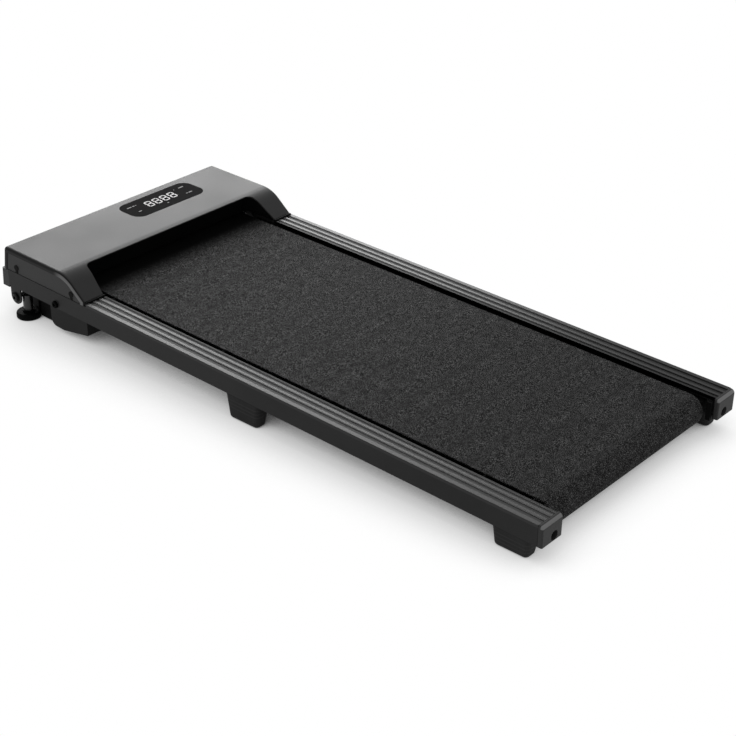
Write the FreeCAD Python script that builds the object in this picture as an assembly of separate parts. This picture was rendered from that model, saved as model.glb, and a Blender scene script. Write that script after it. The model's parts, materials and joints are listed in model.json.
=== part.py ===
# Walking pad: a slim treadmill that lies under a desk.
# Every piece is drawn on the level chassis and the whole is then tilted onto its feet.
# Level chassis: X to the walker's right, Y towards the hood, Z up from the side tubes' underside, in mm.
import FreeCAD, Part
import math
import os

from FreeCAD import Vector

# Whole machine
FRAME_WIDTH = 520.0
CHASSIS_LENGTH = 1230.0
INCLINE_DEG = 1.25
MID_HEIGHT = 47.8

# Clearances
OVERRUN = 5.0
SLIP = 0.3
RUNNING = 0.05
SEAT = 0.15

# Side tubes
TUBE_WIDTH = 40.0
TUBE_HEIGHT = 32.0
TUBE_WALL = 2.0

# Ears under the side tubes
EAR_SETBACK = 17.0
EAR_DROP = 18.7
EAR_RADIUS = 14.0
EAR_THICKNESS = 3.0

# Foot rails
RAIL_WIDTH = 47.0
RAIL_BASE = 3.5
RIB_INSETS = (0.0, 17.0, 30.5, 42.3)
RIB_WIDTHS = (8.4, 5.7, 5.8, 3.7)
RIB_HEIGHT = 1.6
RIB_ROUND = 0.7
RAIL_HOOD_GAP = 5.0

# Rear end caps
CAP_LENGTH = 9.0
CAP_WIDTH = 49.0
CAP_TOP_ROUND = 7.0
CAP_SIDE_ROUND = 2.5
CAP_HOLE_RADIUS = 8.0
CAP_HOLE_HEIGHT = 8.8
PLUG_LENGTH = 8.0
PLUG_WALL = 2.5

# Front bumper
BUMPER_DEPTH = 18.0
BUMPER_DROP = 4.5
BUMPER_STEP = 1.5
BUMPER_LEAN = 2.5
BUMPER_ROUND = 3.0
BUMPER_WALL = 2.5

# Rollers
ROLLER_RADIUS = 25.0
ROLLER_WALL = 2.5
ROLLER_OVERHANG = 0.5
CUP_LENGTH = 12.0
CUP_BORE_RADIUS = 8.0
BEARING_RADIUS = 13.0
BEARING_WIDTH = 8.0
AXLE_RADIUS = 5.0
AXLE_HEIGHT = 7.5
FRONT_AXLE_SETBACK = 134.0
REAR_AXLE_SETBACK = 49.0
AXLE_BOLT_RADIUS = 3.0
AXLE_BOLT_LENGTH = 20.0
BOLT_HEAD_RADIUS = 7.0
BOLT_HEAD_HEIGHT = 4.5
BOLT_HEAD_ROUND = 2.5
BOLT_KEY_RADIUS = 3.2
BOLT_KEY_DEPTH = 2.5

# Walking belt
BELT_SIDE_ROOM = 17.5
BELT_WIDTH = FRAME_WIDTH - 2 * (TUBE_WIDTH + BELT_SIDE_ROOM)
BELT_THICKNESS = 1.8

# Belt tension
TENSION_INSET = 10.3
TENSION_RADIUS = 3.0
TENSION_TRAVEL = 6.0
TENSION_PLATE = 4.0
TENSION_PLATE_GAP = 9.0
TENSION_HEAD_RADIUS = 5.0
TENSION_HEAD_LENGTH = 6.0
TENSION_KEY_RADIUS = 2.5
TENSION_KEY_DEPTH = 3.5
TENSION_REACH = 14.0
AXLE_END_REACH = 8.0

# Deck and its cross beams
DECK_THICKNESS = 12.0
DECK_SIDE_GAP = 1.5
DECK_END_GAP = 13.0
DECK_EDGE_ROUND = 4.0
BEAM_COUNT = 4
BEAM_WIDTH = 40.0
BEAM_WALL = 1.5
BEAM_END_INSET = 60.0
CUSHION_HEIGHT = 4.0
CUSHION_LENGTH = 36.0
CUSHION_WIDTH = 28.0
DECK_SCREW_INSET = 6.5
DECK_SCREW_RADIUS = 1.7
DECK_SCREW_HEAD_RADIUS = 2.8
DECK_SCREW_BITE = 4.0

# Front cross beam
FRONT_BEAM_WIDTH = 30.0
FRONT_BEAM_HEIGHT = 20.0

# Hood
HOOD_HEIGHT = 76.7
HOOD_LENGTH = 215.0
HOOD_WALL = 2.5
HOOD_FRONT_ROUND = 8.0
HOOD_LEAN = 7.0
HOOD_REACH = 6.0
HOOD_BEND_RADIUS = 64.0
HOOD_SLOPE_DEG = 38.0
HOOD_FOOT_HEIGHT = 8.0
HOOD_EDGE_ROUND = 5.5
HOOD_BAND = 10.0
HOOD_BAND_WALL = 3.0

# Hood cheeks
CHEEK_THICKNESS = 5.0
CHEEK_SINK = 1.0
HOOD_SCREW_SETBACKS = (26.0, 180.0)
HOOD_SCREW_HEIGHT = 43.0
HOOD_SCREW_RADIUS = 2.5
HOOD_SCREW_HEAD_RADIUS = 4.5
HOOD_SCREW_HEAD_HEIGHT = 2.0
HOOD_SCREW_LENGTH = 14.0
KEYHOLE_DEPTH = 3.5
BRACKET_WIDTH = 16.0
BRACKET_HEIGHT = 18.0
BRACKET_FOOT = 14.0
BRACKET_WALL = 2.5

# Arch in the hood and the toe guard behind it
ARCH_SETBACK = 157.0
ARCH_TOP_MARGIN = 3.0
ARCH_FOOT_MARGIN = 13.5
ARCH_TOP_WIDTH = BELT_WIDTH + 2 * ARCH_TOP_MARGIN
ARCH_FOOT_WIDTH = BELT_WIDTH + 2 * ARCH_FOOT_MARGIN
ARCH_UNDERCUT = 17.0
ARCH_CORNER = 14.0
GUARD_WALL = 2.5
GUARD_GAP = 4.0
GUARD_BELT_GAP = 1.5

# Display
LENS_WIDTH = 178.0
LENS_DEPTH = 69.5
LENS_CORNER = 22.0
LENS_THICKNESS = 1.6
LENS_PROUD = 0.2
LENS_OFFSET = 75.4
LENS_SETBACK = 49.3
LENS_LEDGE = 12.0
LENS_ROUND = 0.3
BOSS_RADIUS = 3.5
BOSS_MARGIN = 5.0
BOSS_LENGTH = 6.6
DISPLAY_BOARD_THICKNESS = 1.6
DIGIT_BLOCK_WIDTH = 76.0
DIGIT_BLOCK_DEPTH = 27.0
DIGIT_BLOCK_OFFSET = -2.4
DIGIT_BLOCK_GAP = 1.6

# Belly tray
TRAY_WALL = 2.5
TRAY_FRONT_SETBACK = 60.0
TRAY_REAR_SETBACK = 209.0
TRAY_BULGE_SETBACK = 107.0
TRAY_DEEP_SETBACK = 141.0
TRAY_FRONT_DEPTH = 43.0
TRAY_DEEP_DEPTH = 46.0
TRAY_REAR_DEPTH = 33.0
TRAY_SIDE_INSET = 8.0
TRAY_NECK_INSET = 28.0
TRAY_WIDTH = FRAME_WIDTH - 2 * TRAY_SIDE_INSET
TRAY_NECK_WIDTH = FRAME_WIDTH - 2 * TRAY_NECK_INSET
TRAY_BULGE_ROUND = 14.0
TRAY_BELT_GAP = 8.0
TRAY_PLATE_GAP = 0.5

# Motor and its plate
MOTOR_SETBACK = 69.0
MOTOR_HEIGHT = 28.5
MOTOR_RADIUS = 33.0
MOTOR_LENGTH = 120.0
BELL_RADIUS = 34.0
BELL_LENGTH = 9.0
BELL_BOSS_RADIUS = 14.0
MOTOR_PULLEY_GAP = 4.0
MOTOR_FOOT_WIDTH = 44.0
MOTOR_FOOT_LIFT = 0.8
MOTOR_SHAFT_RADIUS = 5.0
FLYWHEEL_RADIUS = 29.0
FLYWHEEL_LENGTH = 12.0
FLYWHEEL_GAP = 2.0
FLYWHEEL_DISH = 4.0
FLYWHEEL_RIM = 6.0
PLATE_WALL = 3.0
PLATE_REAR_REACH = 31.0
PLATE_FRONT_REACH = 22.0
PLATE_FLANGE_HEIGHT = 26.0
PLATE_NOTCH = 16.0

# Pulleys and drive belt
PULLEY_WIDTH = 12.0
ROLLER_PULLEY_RADIUS = 32.0
MOTOR_PULLEY_RADIUS = 12.0
PULLEY_WEB = 4.0
PULLEY_RIM = 5.0
DRIVE_BELT_WIDTH = 10.5
DRIVE_BELT_THICKNESS = 1.6
DRIVE_RIB_COUNT = 4
DRIVE_RIB_PITCH = 2.4
DRIVE_RIB_WIDTH = 1.1
DRIVE_RIB_HEIGHT = 1.2

# Control board
BOARD_LENGTH = 150.0
BOARD_WIDTH = 44.0
BOARD_THICKNESS = 1.6
BOARD_SIDE_GAP = 23.0
STANDOFF_HEIGHT = 5.0
STANDOFF_RADIUS = 3.0
STANDOFF_MARGIN = 5.0
SINK_LENGTH = 56.0
SINK_WIDTH = 40.0
SINK_HEIGHT = 34.0
SINK_BASE = 5.0
SINK_MARGIN = 10.0
FIN_COUNT = 7
FIN_WALL = 2.0
CAPACITOR_RADIUS = 10.0
CAPACITOR_SINK_GAP = 4.0
CAPACITOR_HEIGHT = 30.0
CAPACITOR_PITCH = 25.0
CAPACITOR_MARGIN = 16.0
CAPACITOR_ROUND = 1.5

# Transport wheels
WHEEL_RADIUS = 25.0
WHEEL_WIDTH = 18.0
WHEEL_GAP = 10.0
WHEEL_ROUND = 3.0
WHEEL_HUB_RADIUS = 9.0
WHEEL_RIM = 6.0
WHEEL_DISH = 3.0
WHEEL_BOLT_RADIUS = 4.0
WHEEL_SLEEVE_RADIUS = 6.5
WHEEL_NUT_RADIUS = 7.5
WHEEL_NUT_LENGTH = 6.5

# Levellers
LEVELLER_SETBACK = 29.0
LEVELLER_INSET = 16.0
STEM_RADIUS = 6.0
STEM_TOP = 20.0
STEM_SOCKET = 8.0
PAD_RADIUS = 23.0
PAD_HEIGHT = 11.5
PAD_TOP_ROUND = 4.0
PAD_BOTTOM_ROUND = 2.0
PAD_COLLAR_RADIUS = 11.0
PAD_COLLAR_HEIGHT = 3.0
WELD_NUT_RADIUS = 11.0
WELD_NUT_HEIGHT = 8.0
LOCK_NUT_RADIUS = 10.5
LOCK_NUT_HEIGHT = 7.0

# Rubber feet
FOOT_WIDTH = 34.0
FOOT_OUTER_TAPER = 3.0
FOOT_INNER_TAPER = 9.0
FOOT_EDGE_INSET = 1.0
FOOT_CORNER = 8.5
FOOT_SOLE_ROUND = 7.0
MID_FOOT_PLACE = -7.0
MID_FOOT_TOP_LENGTH = 76.0
MID_FOOT_SOLE_LENGTH = 64.0
REAR_FOOT_SETBACK = 58.0
REAR_FOOT_TOP_LENGTH = 69.0
REAR_FOOT_SOLE_LENGTH = 61.0

# Mains inlet in the hood's front wall
INLET_SIDE_GAP = 70.0
INLET_WIDTH = 28.0
INLET_HEIGHT = 20.0
INLET_DEPTH = 24.0
INLET_FLANGE_WIDTH = 50.0
INLET_FLANGE_HEIGHT = 24.0
INLET_FLANGE = 2.5
INLET_CORNER = 4.0
MOUTH_WIDTH = 24.0
MOUTH_HEIGHT = 16.0
MOUTH_DEPTH = 21.0
PIN_WIDTH = 2.0
PIN_HEIGHT = 4.0
PIN_LENGTH = 14.0
PIN_PITCH = 7.0
PIN_RAISE = 2.0

# Rocker switch beside the inlet
SWITCH_INLET_PITCH = 50.0
SWITCH_WIDTH = 13.0
SWITCH_HEIGHT = 20.0
SWITCH_DEPTH = 16.0
SWITCH_FLANGE = 2.0
SWITCH_FLANGE_MARGIN = 2.0
SWITCH_WALL = 1.2
ROCKER_SIDE_GAP = 0.3
ROCKER_HALF_HEIGHT = 7.4
ROCKER_FACE = 2.2
ROCKER_VALLEY = 1.0
ROCKER_BACK = 5.0
ROCKER_BACK_HALF_HEIGHT = 3.0
ROCKER_PIVOT_SINK = 0.5
ROCKER_TILT_DEG = 9.0
ROCKER_PIN_RADIUS = 1.2
PANEL_HEIGHT = 53.0

# Places that several pieces share
HALF_WIDTH = FRAME_WIDTH / 2
TUBE_IN = HALF_WIDTH - TUBE_WIDTH
RAIL_IN = HALF_WIDTH - RAIL_WIDTH
CAP_IN = HALF_WIDTH - CAP_WIDTH
FRONT_END = CHASSIS_LENGTH / 2
REAR_END = -CHASSIS_LENGTH / 2
HOOD_FRONT = FRONT_END - BUMPER_DEPTH
HOOD_REAR = HOOD_FRONT - HOOD_LENGTH
TUBE_REAR = REAR_END + CAP_LENGTH
RAIL_TOP = TUBE_HEIGHT + RAIL_BASE + RIB_HEIGHT
FRONT_AXLE = (HOOD_FRONT - FRONT_AXLE_SETBACK, AXLE_HEIGHT)
REAR_AXLE = (REAR_END + REAR_AXLE_SETBACK, AXLE_HEIGHT)
BELT_INNER_RADIUS = ROLLER_RADIUS + SLIP
BELT_TOP = AXLE_HEIGHT + BELT_INNER_RADIUS + BELT_THICKNESS
DECK_TOP = AXLE_HEIGHT + BELT_INNER_RADIUS - SLIP
DECK_HALF_WIDTH = RAIL_IN - DECK_SIDE_GAP
DECK_SPAN = (REAR_AXLE[0] + ROLLER_RADIUS + DECK_END_GAP, FRONT_AXLE[0] - ROLLER_RADIUS - DECK_END_GAP)
BEAM_TOP = DECK_TOP - DECK_THICKNESS - CUSHION_HEIGHT
ROLLER_END = BELT_WIDTH / 2 + ROLLER_OVERHANG
TENSION_X = TUBE_IN + TENSION_INSET
WHEEL_AXLE = (HOOD_FRONT - EAR_SETBACK, -EAR_DROP)
LEVELLER_X = HALF_WIDTH - LEVELLER_INSET
LEVELLER_Y = HOOD_FRONT - LEVELLER_SETBACK
MOTOR_AXIS = (HOOD_FRONT - MOTOR_SETBACK, MOTOR_HEIGHT)
PLATE_TOP = MOTOR_HEIGHT - BELL_RADIUS - MOTOR_FOOT_LIFT
CHEEK_OUT = HALF_WIDTH - CHEEK_SINK
CHEEK_IN = CHEEK_OUT - CHEEK_THICKNESS
BAND_IN = HALF_WIDTH - HOOD_BAND_WALL
WALL_LEAN = math.atan2(HOOD_LEAN, HOOD_HEIGHT - TUBE_HEIGHT)
WALL_SHIFT = HOOD_REACH + (HOOD_HEIGHT - PANEL_HEIGHT) * math.tan(WALL_LEAN)
ARCH_FRONT = HOOD_FRONT - ARCH_SETBACK
LENS_Y = HOOD_FRONT - LENS_SETBACK
BOARD_OFFSET = BOARD_SIDE_GAP + BOARD_LENGTH / 2 - TUBE_IN
INLET_OFFSET = INLET_SIDE_GAP - HALF_WIDTH
SWITCH_OFFSET = INLET_OFFSET + SWITCH_INLET_PITCH
HOOD_UNDERSIDE = HOOD_HEIGHT - HOOD_WALL
DISPLAY_BOARD_TOP = HOOD_UNDERSIDE - BOSS_LENGTH
ROCKER_PIVOT_Y = HOOD_FRONT + SWITCH_FLANGE - ROCKER_FACE - ROCKER_PIVOT_SINK

AXES = {"x": Vector(1, 0, 0), "y": Vector(0, 1, 0), "z": Vector(0, 0, 1)}
HEX_SIDES = 6


def floor_height(y):
    """Height of the floor on the level chassis, whose front stands higher than its rear."""
    return -(MID_HEIGHT + y * math.tan(math.radians(INCLINE_DEG)))


PAD_BOTTOM = floor_height(LEVELLER_Y - PAD_RADIUS)
PAD_TOP = PAD_BOTTOM + PAD_HEIGHT


def box(x, y, z):
    """A box between two limits on each axis."""
    return Part.makeBox(x[1] - x[0], y[1] - y[0], z[1] - z[0], Vector(x[0], y[0], z[0]))


def about(middle, size):
    """The two limits of a size laid evenly about a middle."""
    return (middle - size / 2, middle + size / 2)


def rod(axis, centre, span, radius):
    """A round bar along one axis; centre holds its two other coordinates in x, y, z order."""
    start = list(centre)
    start.insert("xyz".index(axis), span[0])
    return Part.makeCylinder(radius, span[1] - span[0], Vector(*start), AXES[axis])


def ring(axis, centre, span, radius, bore):
    """A round bar with a bore right through."""
    over = (span[0] - OVERRUN, span[1] + OVERRUN)
    return rod(axis, centre, span, radius).cut(rod(axis, centre, over, bore))


def hexagon(axis, centre, span, radius):
    """A six-sided bar along one axis."""
    others = [AXES[name] for name in "xyz" if name != axis]
    middle = AXES[axis] * span[0]
    for value, way in zip(centre, others):
        middle = middle + way * value
    corners = []
    for step in range(HEX_SIDES + 1):
        turn = 2 * math.pi * step / HEX_SIDES
        corners.append(middle + others[0] * (radius * math.cos(turn)) + others[1] * (radius * math.sin(turn)))
    return Part.Face(Part.makePolygon(corners)).extrude(AXES[axis] * (span[1] - span[0]))


def nut(axis, centre, span, radius, bore):
    """A six-sided nut along one axis with a bore right through."""
    over = (span[0] - OVERRUN, span[1] + OVERRUN)
    return hexagon(axis, centre, span, radius).cut(rod(axis, centre, over, bore))


def profile(edges, span):
    """Edges that close on themselves in the YZ plane, extruded along X over a span."""
    face = Part.Face(Part.Wire(edges))
    face.translate(AXES["x"] * span[0])
    return face.extrude(AXES["x"] * (span[1] - span[0]))


def at(y, z):
    """A point of the YZ plane."""
    return Vector(0, y, z)


def line(start, end):
    """A straight edge."""
    return Part.LineSegment(start, end).toShape()


def arc(start, through, end):
    """A round edge through three points."""
    return Part.Arc(start, through, end).toShape()


def polygon(points, span):
    """A many-sided YZ outline extruded along X over a span."""
    corners = [at(y, z) for y, z in points]
    corners.append(corners[0])
    return profile(Part.makePolygon(corners).Edges, span)


def mirrored(shape):
    """The same piece for the other side of the machine."""
    return shape.mirror(Vector(0, 0, 0), AXES["x"])


def pair(shape):
    """A piece and its mirror image as one group."""
    return Part.makeCompound([shape, mirrored(shape)])


def rounded(shape, radius, wanted):
    """Round every edge whose middle point is wanted."""
    edges = [edge for edge in shape.Edges if wanted(edge.CenterOfGravity, edge)]
    return shape.makeFillet(radius, edges)


def near(value, target):
    """Whether two lengths agree to well under a clearance."""
    return abs(value - target) < RUNNING / 2


def loop(rear, rear_radius, front, front_radius, span):
    """A solid inside a taut loop that runs round two circles of the YZ plane."""
    reach_y = front[0] - rear[0]
    reach_z = front[1] - rear[1]
    heading = math.atan2(reach_z, reach_y)
    lean = math.acos((rear_radius - front_radius) / math.hypot(reach_y, reach_z))

    def on(centre, radius, angle):
        return at(centre[0] + radius * math.cos(angle), centre[1] + radius * math.sin(angle))

    front_high, front_tip, front_low = [on(front, front_radius, heading + turn) for turn in (lean, 0, -lean)]
    rear_high, rear_tip, rear_low = [on(rear, rear_radius, heading + turn) for turn in (lean, math.pi, -lean)]
    edges = [
        line(rear_high, front_high),
        arc(front_high, front_tip, front_low),
        line(front_low, rear_low),
        arc(rear_low, rear_tip, rear_high),
    ]
    return profile(edges, span)


# Chassis

def ear(inner_face):
    """A rounded tab below the tube that carries the wheel axle, with its inner face at X."""
    span = (inner_face, inner_face + EAR_THICKNESS)
    y, z = WHEEL_AXLE
    tab = box(span, (y - EAR_RADIUS, y + EAR_RADIUS), (z, 0))
    tab = tab.fuse(rod("x", WHEEL_AXLE, span, EAR_RADIUS))
    over = (span[0] - OVERRUN, span[1] + OVERRUN)
    return tab.cut(rod("x", WHEEL_AXLE, over, WHEEL_BOLT_RADIUS + RUNNING))


def axle_slot():
    """The slot in the tube's inner wall along which the rear axle shifts."""
    span = (TUBE_IN - OVERRUN, TUBE_IN + TUBE_WALL + OVERRUN)
    radius = AXLE_RADIUS + SLIP
    y, z = REAR_AXLE
    slot = box(span, (y, y + TENSION_TRAVEL), (z - radius, z + radius))
    slot = slot.fuse(rod("x", (y, z), span, radius))
    return slot.fuse(rod("x", (y + TENSION_TRAVEL, z), span, radius))


def side_frame():
    """The right side tube with its tension plate, weld nut and wheel ears."""
    cavity_x = (TUBE_IN + TUBE_WALL, HALF_WIDTH - TUBE_WALL)
    cavity_z = (TUBE_WALL, TUBE_HEIGHT - TUBE_WALL)
    tube = box((TUBE_IN, HALF_WIDTH), (TUBE_REAR, HOOD_FRONT), (0, TUBE_HEIGHT))
    tube = tube.cut(box(cavity_x, (TUBE_REAR - OVERRUN, HOOD_FRONT + OVERRUN), cavity_z))
    plate_rear = TUBE_REAR + TENSION_PLATE_GAP
    plate = box(cavity_x, (plate_rear, plate_rear + TENSION_PLATE), cavity_z)
    bolt_way = (plate_rear - OVERRUN, plate_rear + TENSION_PLATE + OVERRUN)
    plate = plate.cut(rod("y", (TENSION_X, AXLE_HEIGHT), bolt_way, TENSION_RADIUS + RUNNING))
    nut_z = (TUBE_WALL, TUBE_WALL + WELD_NUT_HEIGHT)
    weld_nut = rod("z", (LEVELLER_X, LEVELLER_Y), nut_z, WELD_NUT_RADIUS)
    frame = tube.fuse([plate, weld_nut, ear(HALF_WIDTH - EAR_THICKNESS), ear(TUBE_IN)])
    stem_way = rod("z", (LEVELLER_X, LEVELLER_Y), (-OVERRUN, nut_z[1] + OVERRUN), STEM_RADIUS + RUNNING)
    inner_way = (TUBE_IN - OVERRUN, TUBE_IN + TUBE_WALL + OVERRUN)
    outer_way = (HALF_WIDTH - TUBE_WALL - OVERRUN, HALF_WIDTH + OVERRUN)
    axle_hole = rod("x", FRONT_AXLE, inner_way, AXLE_RADIUS + RUNNING)
    bolt_hole = rod("x", FRONT_AXLE, outer_way, AXLE_BOLT_RADIUS + RUNNING)
    return frame.cut([stem_way, axle_hole, bolt_hole, axle_slot()]).removeSplitter()


def front_cross_beam():
    """The hollow beam that ties the two tubes together under the hood's front wall."""
    x = (-TUBE_IN, TUBE_IN)
    y = (HOOD_FRONT - FRONT_BEAM_WIDTH, HOOD_FRONT)
    z = (TUBE_HEIGHT - FRONT_BEAM_HEIGHT, TUBE_HEIGHT)
    inner_y = (y[0] + TUBE_WALL, y[1] - TUBE_WALL)
    inner_z = (z[0] + TUBE_WALL, z[1] - TUBE_WALL)
    return box(x, y, z).cut(box((x[0] - OVERRUN, x[1] + OVERRUN), inner_y, inner_z))


def front_bumper():
    """The band across the front end, open below and behind."""
    def block(inset, rear):
        limit = HALF_WIDTH - inset
        low = -BUMPER_DROP - inset
        top = TUBE_HEIGHT - BUMPER_STEP - inset
        outline = [(rear, low), (rear, top), (FRONT_END - inset, top), (FRONT_END + BUMPER_LEAN - inset, low)]
        upright = lambda middle, edge: middle.y > HOOD_FRONT and near(middle.z, (low + top) / 2)
        return rounded(polygon(outline, (-limit, limit)), BUMPER_ROUND - inset, upright)

    return block(0, HOOD_FRONT).cut(block(BUMPER_WALL, HOOD_FRONT - OVERRUN))


def foot_rail():
    """The right foot rail: a flat base with raised ribs along its length."""
    y = (TUBE_REAR, HOOD_REAR - RAIL_HOOD_GAP)
    base_top = TUBE_HEIGHT + RAIL_BASE
    rail = box((RAIL_IN, HALF_WIDTH), y, (TUBE_HEIGHT, base_top))
    for inset, width in zip(RIB_INSETS, RIB_WIDTHS):
        outer = HALF_WIDTH - inset
        rib = box((outer - width, outer), y, (TUBE_HEIGHT, RAIL_TOP))
        rail = rail.fuse(rib)
    rail = rail.removeSplitter()
    long_top = lambda middle, edge: near(middle.z, RAIL_TOP) and near(edge.Length, y[1] - y[0])
    return rounded(rail, RIB_ROUND, long_top)


def end_cap():
    """The right rear cap over tube and rail, with a round hole that opens the way to the tension screw."""
    cap = box((CAP_IN, HALF_WIDTH), (REAR_END, TUBE_REAR), (0, RAIL_TOP))
    top_rear = lambda middle, edge: near(middle.y, REAR_END) and near(middle.z, RAIL_TOP)
    cap = rounded(cap, CAP_TOP_ROUND, top_rear)
    sides = lambda middle, edge: (near(middle.x, CAP_IN) or near(middle.x, HALF_WIDTH)) and (
        middle.y < TUBE_REAR - RUNNING and middle.z > RUNNING)
    cap = rounded(cap, CAP_SIDE_ROUND, sides)
    inset = TUBE_WALL + SEAT
    plug_x = (TUBE_IN + inset, HALF_WIDTH - inset)
    plug_z = (inset, TUBE_HEIGHT - inset)
    plug = box(plug_x, (TUBE_REAR, TUBE_REAR + PLUG_LENGTH), plug_z)
    hollow_x = (plug_x[0] + PLUG_WALL, plug_x[1] - PLUG_WALL)
    hollow_z = (plug_z[0] + PLUG_WALL, plug_z[1] - PLUG_WALL)
    plug = plug.cut(box(hollow_x, (TUBE_REAR, TUBE_REAR + PLUG_LENGTH + OVERRUN), hollow_z))
    way = (REAR_END - OVERRUN, TUBE_REAR + PLUG_LENGTH + OVERRUN)
    hole = rod("y", (TENSION_X, CAP_HOLE_HEIGHT), way, CAP_HOLE_RADIUS)
    return cap.fuse(plug).cut(hole).removeSplitter()


# Deck

def beam_places():
    """Middles of the deck's cross beams, evenly spread along the deck."""
    first = DECK_SPAN[0] + BEAM_END_INSET
    last = DECK_SPAN[1] - BEAM_END_INSET
    return [first + (last - first) * index / (BEAM_COUNT - 1) for index in range(BEAM_COUNT)]


def deck_screw_x():
    """Distance of the deck screws from the middle of the machine."""
    return DECK_HALF_WIDTH - DECK_SCREW_INSET


def deck_cross_beams():
    """Flat hollow beams between the side tubes."""
    beams = []
    for middle in beam_places():
        y = about(middle, BEAM_WIDTH)
        inner_y = (y[0] + BEAM_WALL, y[1] - BEAM_WALL)
        beam = box((-TUBE_IN, TUBE_IN), y, (0, BEAM_TOP))
        hollow = box((-TUBE_IN - OVERRUN, TUBE_IN + OVERRUN), inner_y, (BEAM_WALL, BEAM_TOP - BEAM_WALL))
        beam = beam.cut(hollow)
        for side in (-deck_screw_x(), deck_screw_x()):
            way = (BEAM_TOP - BEAM_WALL - OVERRUN, BEAM_TOP + OVERRUN)
            beam = beam.cut(rod("z", (side, middle), way, DECK_SCREW_RADIUS + RUNNING))
        beams.append(beam)
    return Part.makeCompound(beams)


def countersink(x, y, play):
    """A screw head's cone, its top level with the deck."""
    depth = DECK_SCREW_HEAD_RADIUS - DECK_SCREW_RADIUS
    foot = Vector(x, y, DECK_TOP - depth)
    return Part.makeCone(DECK_SCREW_RADIUS + play, DECK_SCREW_HEAD_RADIUS + play, depth, foot)


def deck_board():
    """The board that the belt slides on, with its ends rounded for the belt."""
    deck = box((-DECK_HALF_WIDTH, DECK_HALF_WIDTH), DECK_SPAN, (DECK_TOP - DECK_THICKNESS, DECK_TOP))
    ends = lambda middle, edge: near(middle.z, DECK_TOP) and near(middle.x, 0)
    deck = rounded(deck, DECK_EDGE_ROUND, ends)
    for middle in beam_places():
        for side in (-deck_screw_x(), deck_screw_x()):
            way = (DECK_TOP - DECK_THICKNESS - OVERRUN, DECK_TOP + OVERRUN)
            deck = deck.cut(rod("z", (side, middle), way, DECK_SCREW_RADIUS + RUNNING))
            deck = deck.cut(countersink(side, middle, RUNNING))
    return deck


def deck_cushions():
    """Rubber pads between the beams and the deck, one round each deck screw."""
    cushions = []
    z = (BEAM_TOP, BEAM_TOP + CUSHION_HEIGHT)
    for middle in beam_places():
        outer = DECK_HALF_WIDTH
        pad = box((outer - CUSHION_WIDTH, outer), about(middle, CUSHION_LENGTH), z)
        way = (z[0] - OVERRUN, z[1] + OVERRUN)
        pad = pad.cut(rod("z", (deck_screw_x(), middle), way, DECK_SCREW_RADIUS + RUNNING))
        cushions += [pad, mirrored(pad)]
    return Part.makeCompound(cushions)


def deck_screws():
    """Countersunk screws through the deck and its cushions into the beams."""
    screws = []
    z = (BEAM_TOP - DECK_SCREW_BITE, DECK_TOP)
    for middle in beam_places():
        x = deck_screw_x()
        screw = rod("z", (x, middle), z, DECK_SCREW_RADIUS).fuse(countersink(x, middle, 0)).removeSplitter()
        screws += [screw, mirrored(screw)]
    return Part.makeCompound(screws)


def walking_belt():
    """The endless belt round both rollers."""
    span = (-BELT_WIDTH / 2, BELT_WIDTH / 2)
    over = (span[0] - OVERRUN, span[1] + OVERRUN)
    outer = BELT_INNER_RADIUS + BELT_THICKNESS
    inside = loop(REAR_AXLE, BELT_INNER_RADIUS, FRONT_AXLE, BELT_INNER_RADIUS, over)
    return loop(REAR_AXLE, outer, FRONT_AXLE, outer, span).cut(inside)


# Rollers

def roller_tube(axle):
    """A roller's steel tube."""
    return ring("x", axle, (-ROLLER_END, ROLLER_END), ROLLER_RADIUS, ROLLER_RADIUS - ROLLER_WALL)


def roller_cups(axle):
    """The two cups pressed into the tube's ends, each with a pocket for its bearing."""
    span = (ROLLER_END - CUP_LENGTH, ROLLER_END)
    cup = ring("x", axle, span, ROLLER_RADIUS - ROLLER_WALL - RUNNING, CUP_BORE_RADIUS)
    pocket = (span[0] - OVERRUN, span[0] + BEARING_WIDTH)
    return pair(cup.cut(rod("x", axle, pocket, BEARING_RADIUS + RUNNING)))


def roller_bearings(axle):
    """The two bearings that let a roller turn on its axle."""
    start = ROLLER_END - CUP_LENGTH
    return pair(ring("x", axle, (start, start + BEARING_WIDTH), BEARING_RADIUS, AXLE_RADIUS + RUNNING))


def front_axle():
    """The front roller's still axle, tapped at both ends."""
    end = HALF_WIDTH - TUBE_WALL
    axle = rod("x", FRONT_AXLE, (-end, end), AXLE_RADIUS)
    hole = rod("x", FRONT_AXLE, (end - AXLE_BOLT_LENGTH, end + OVERRUN), AXLE_BOLT_RADIUS + RUNNING)
    return axle.cut([hole, mirrored(hole)])


def bolt_head(axle):
    """A domed bolt head on the outside of the right tube, with a six-sided socket."""
    top = HALF_WIDTH + BOLT_HEAD_HEIGHT
    head = rod("x", axle, (HALF_WIDTH, top), BOLT_HEAD_RADIUS)
    head = rounded(head, BOLT_HEAD_ROUND, lambda middle, edge: near(middle.x, top))
    return head.cut(hexagon("x", axle, (top - BOLT_KEY_DEPTH, top + OVERRUN), BOLT_KEY_RADIUS))


def front_axle_bolts():
    """The two bolts that hold the front axle from outside."""
    tip = HALF_WIDTH - TUBE_WALL - AXLE_BOLT_LENGTH + SLIP
    shank = rod("x", FRONT_AXLE, (tip, HALF_WIDTH), AXLE_BOLT_RADIUS)
    return pair(shank.fuse(bolt_head(FRONT_AXLE)))


def rear_axle():
    """The rear roller's axle, drilled across near both ends for the tension screws."""
    end = TENSION_X + AXLE_END_REACH
    axle = rod("x", REAR_AXLE, (-end, end), AXLE_RADIUS)
    way = about(REAR_AXLE[0], 2 * (AXLE_RADIUS + OVERRUN))
    hole = rod("y", (TENSION_X, AXLE_HEIGHT), way, TENSION_RADIUS + RUNNING)
    return axle.cut([hole, mirrored(hole)])


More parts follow.
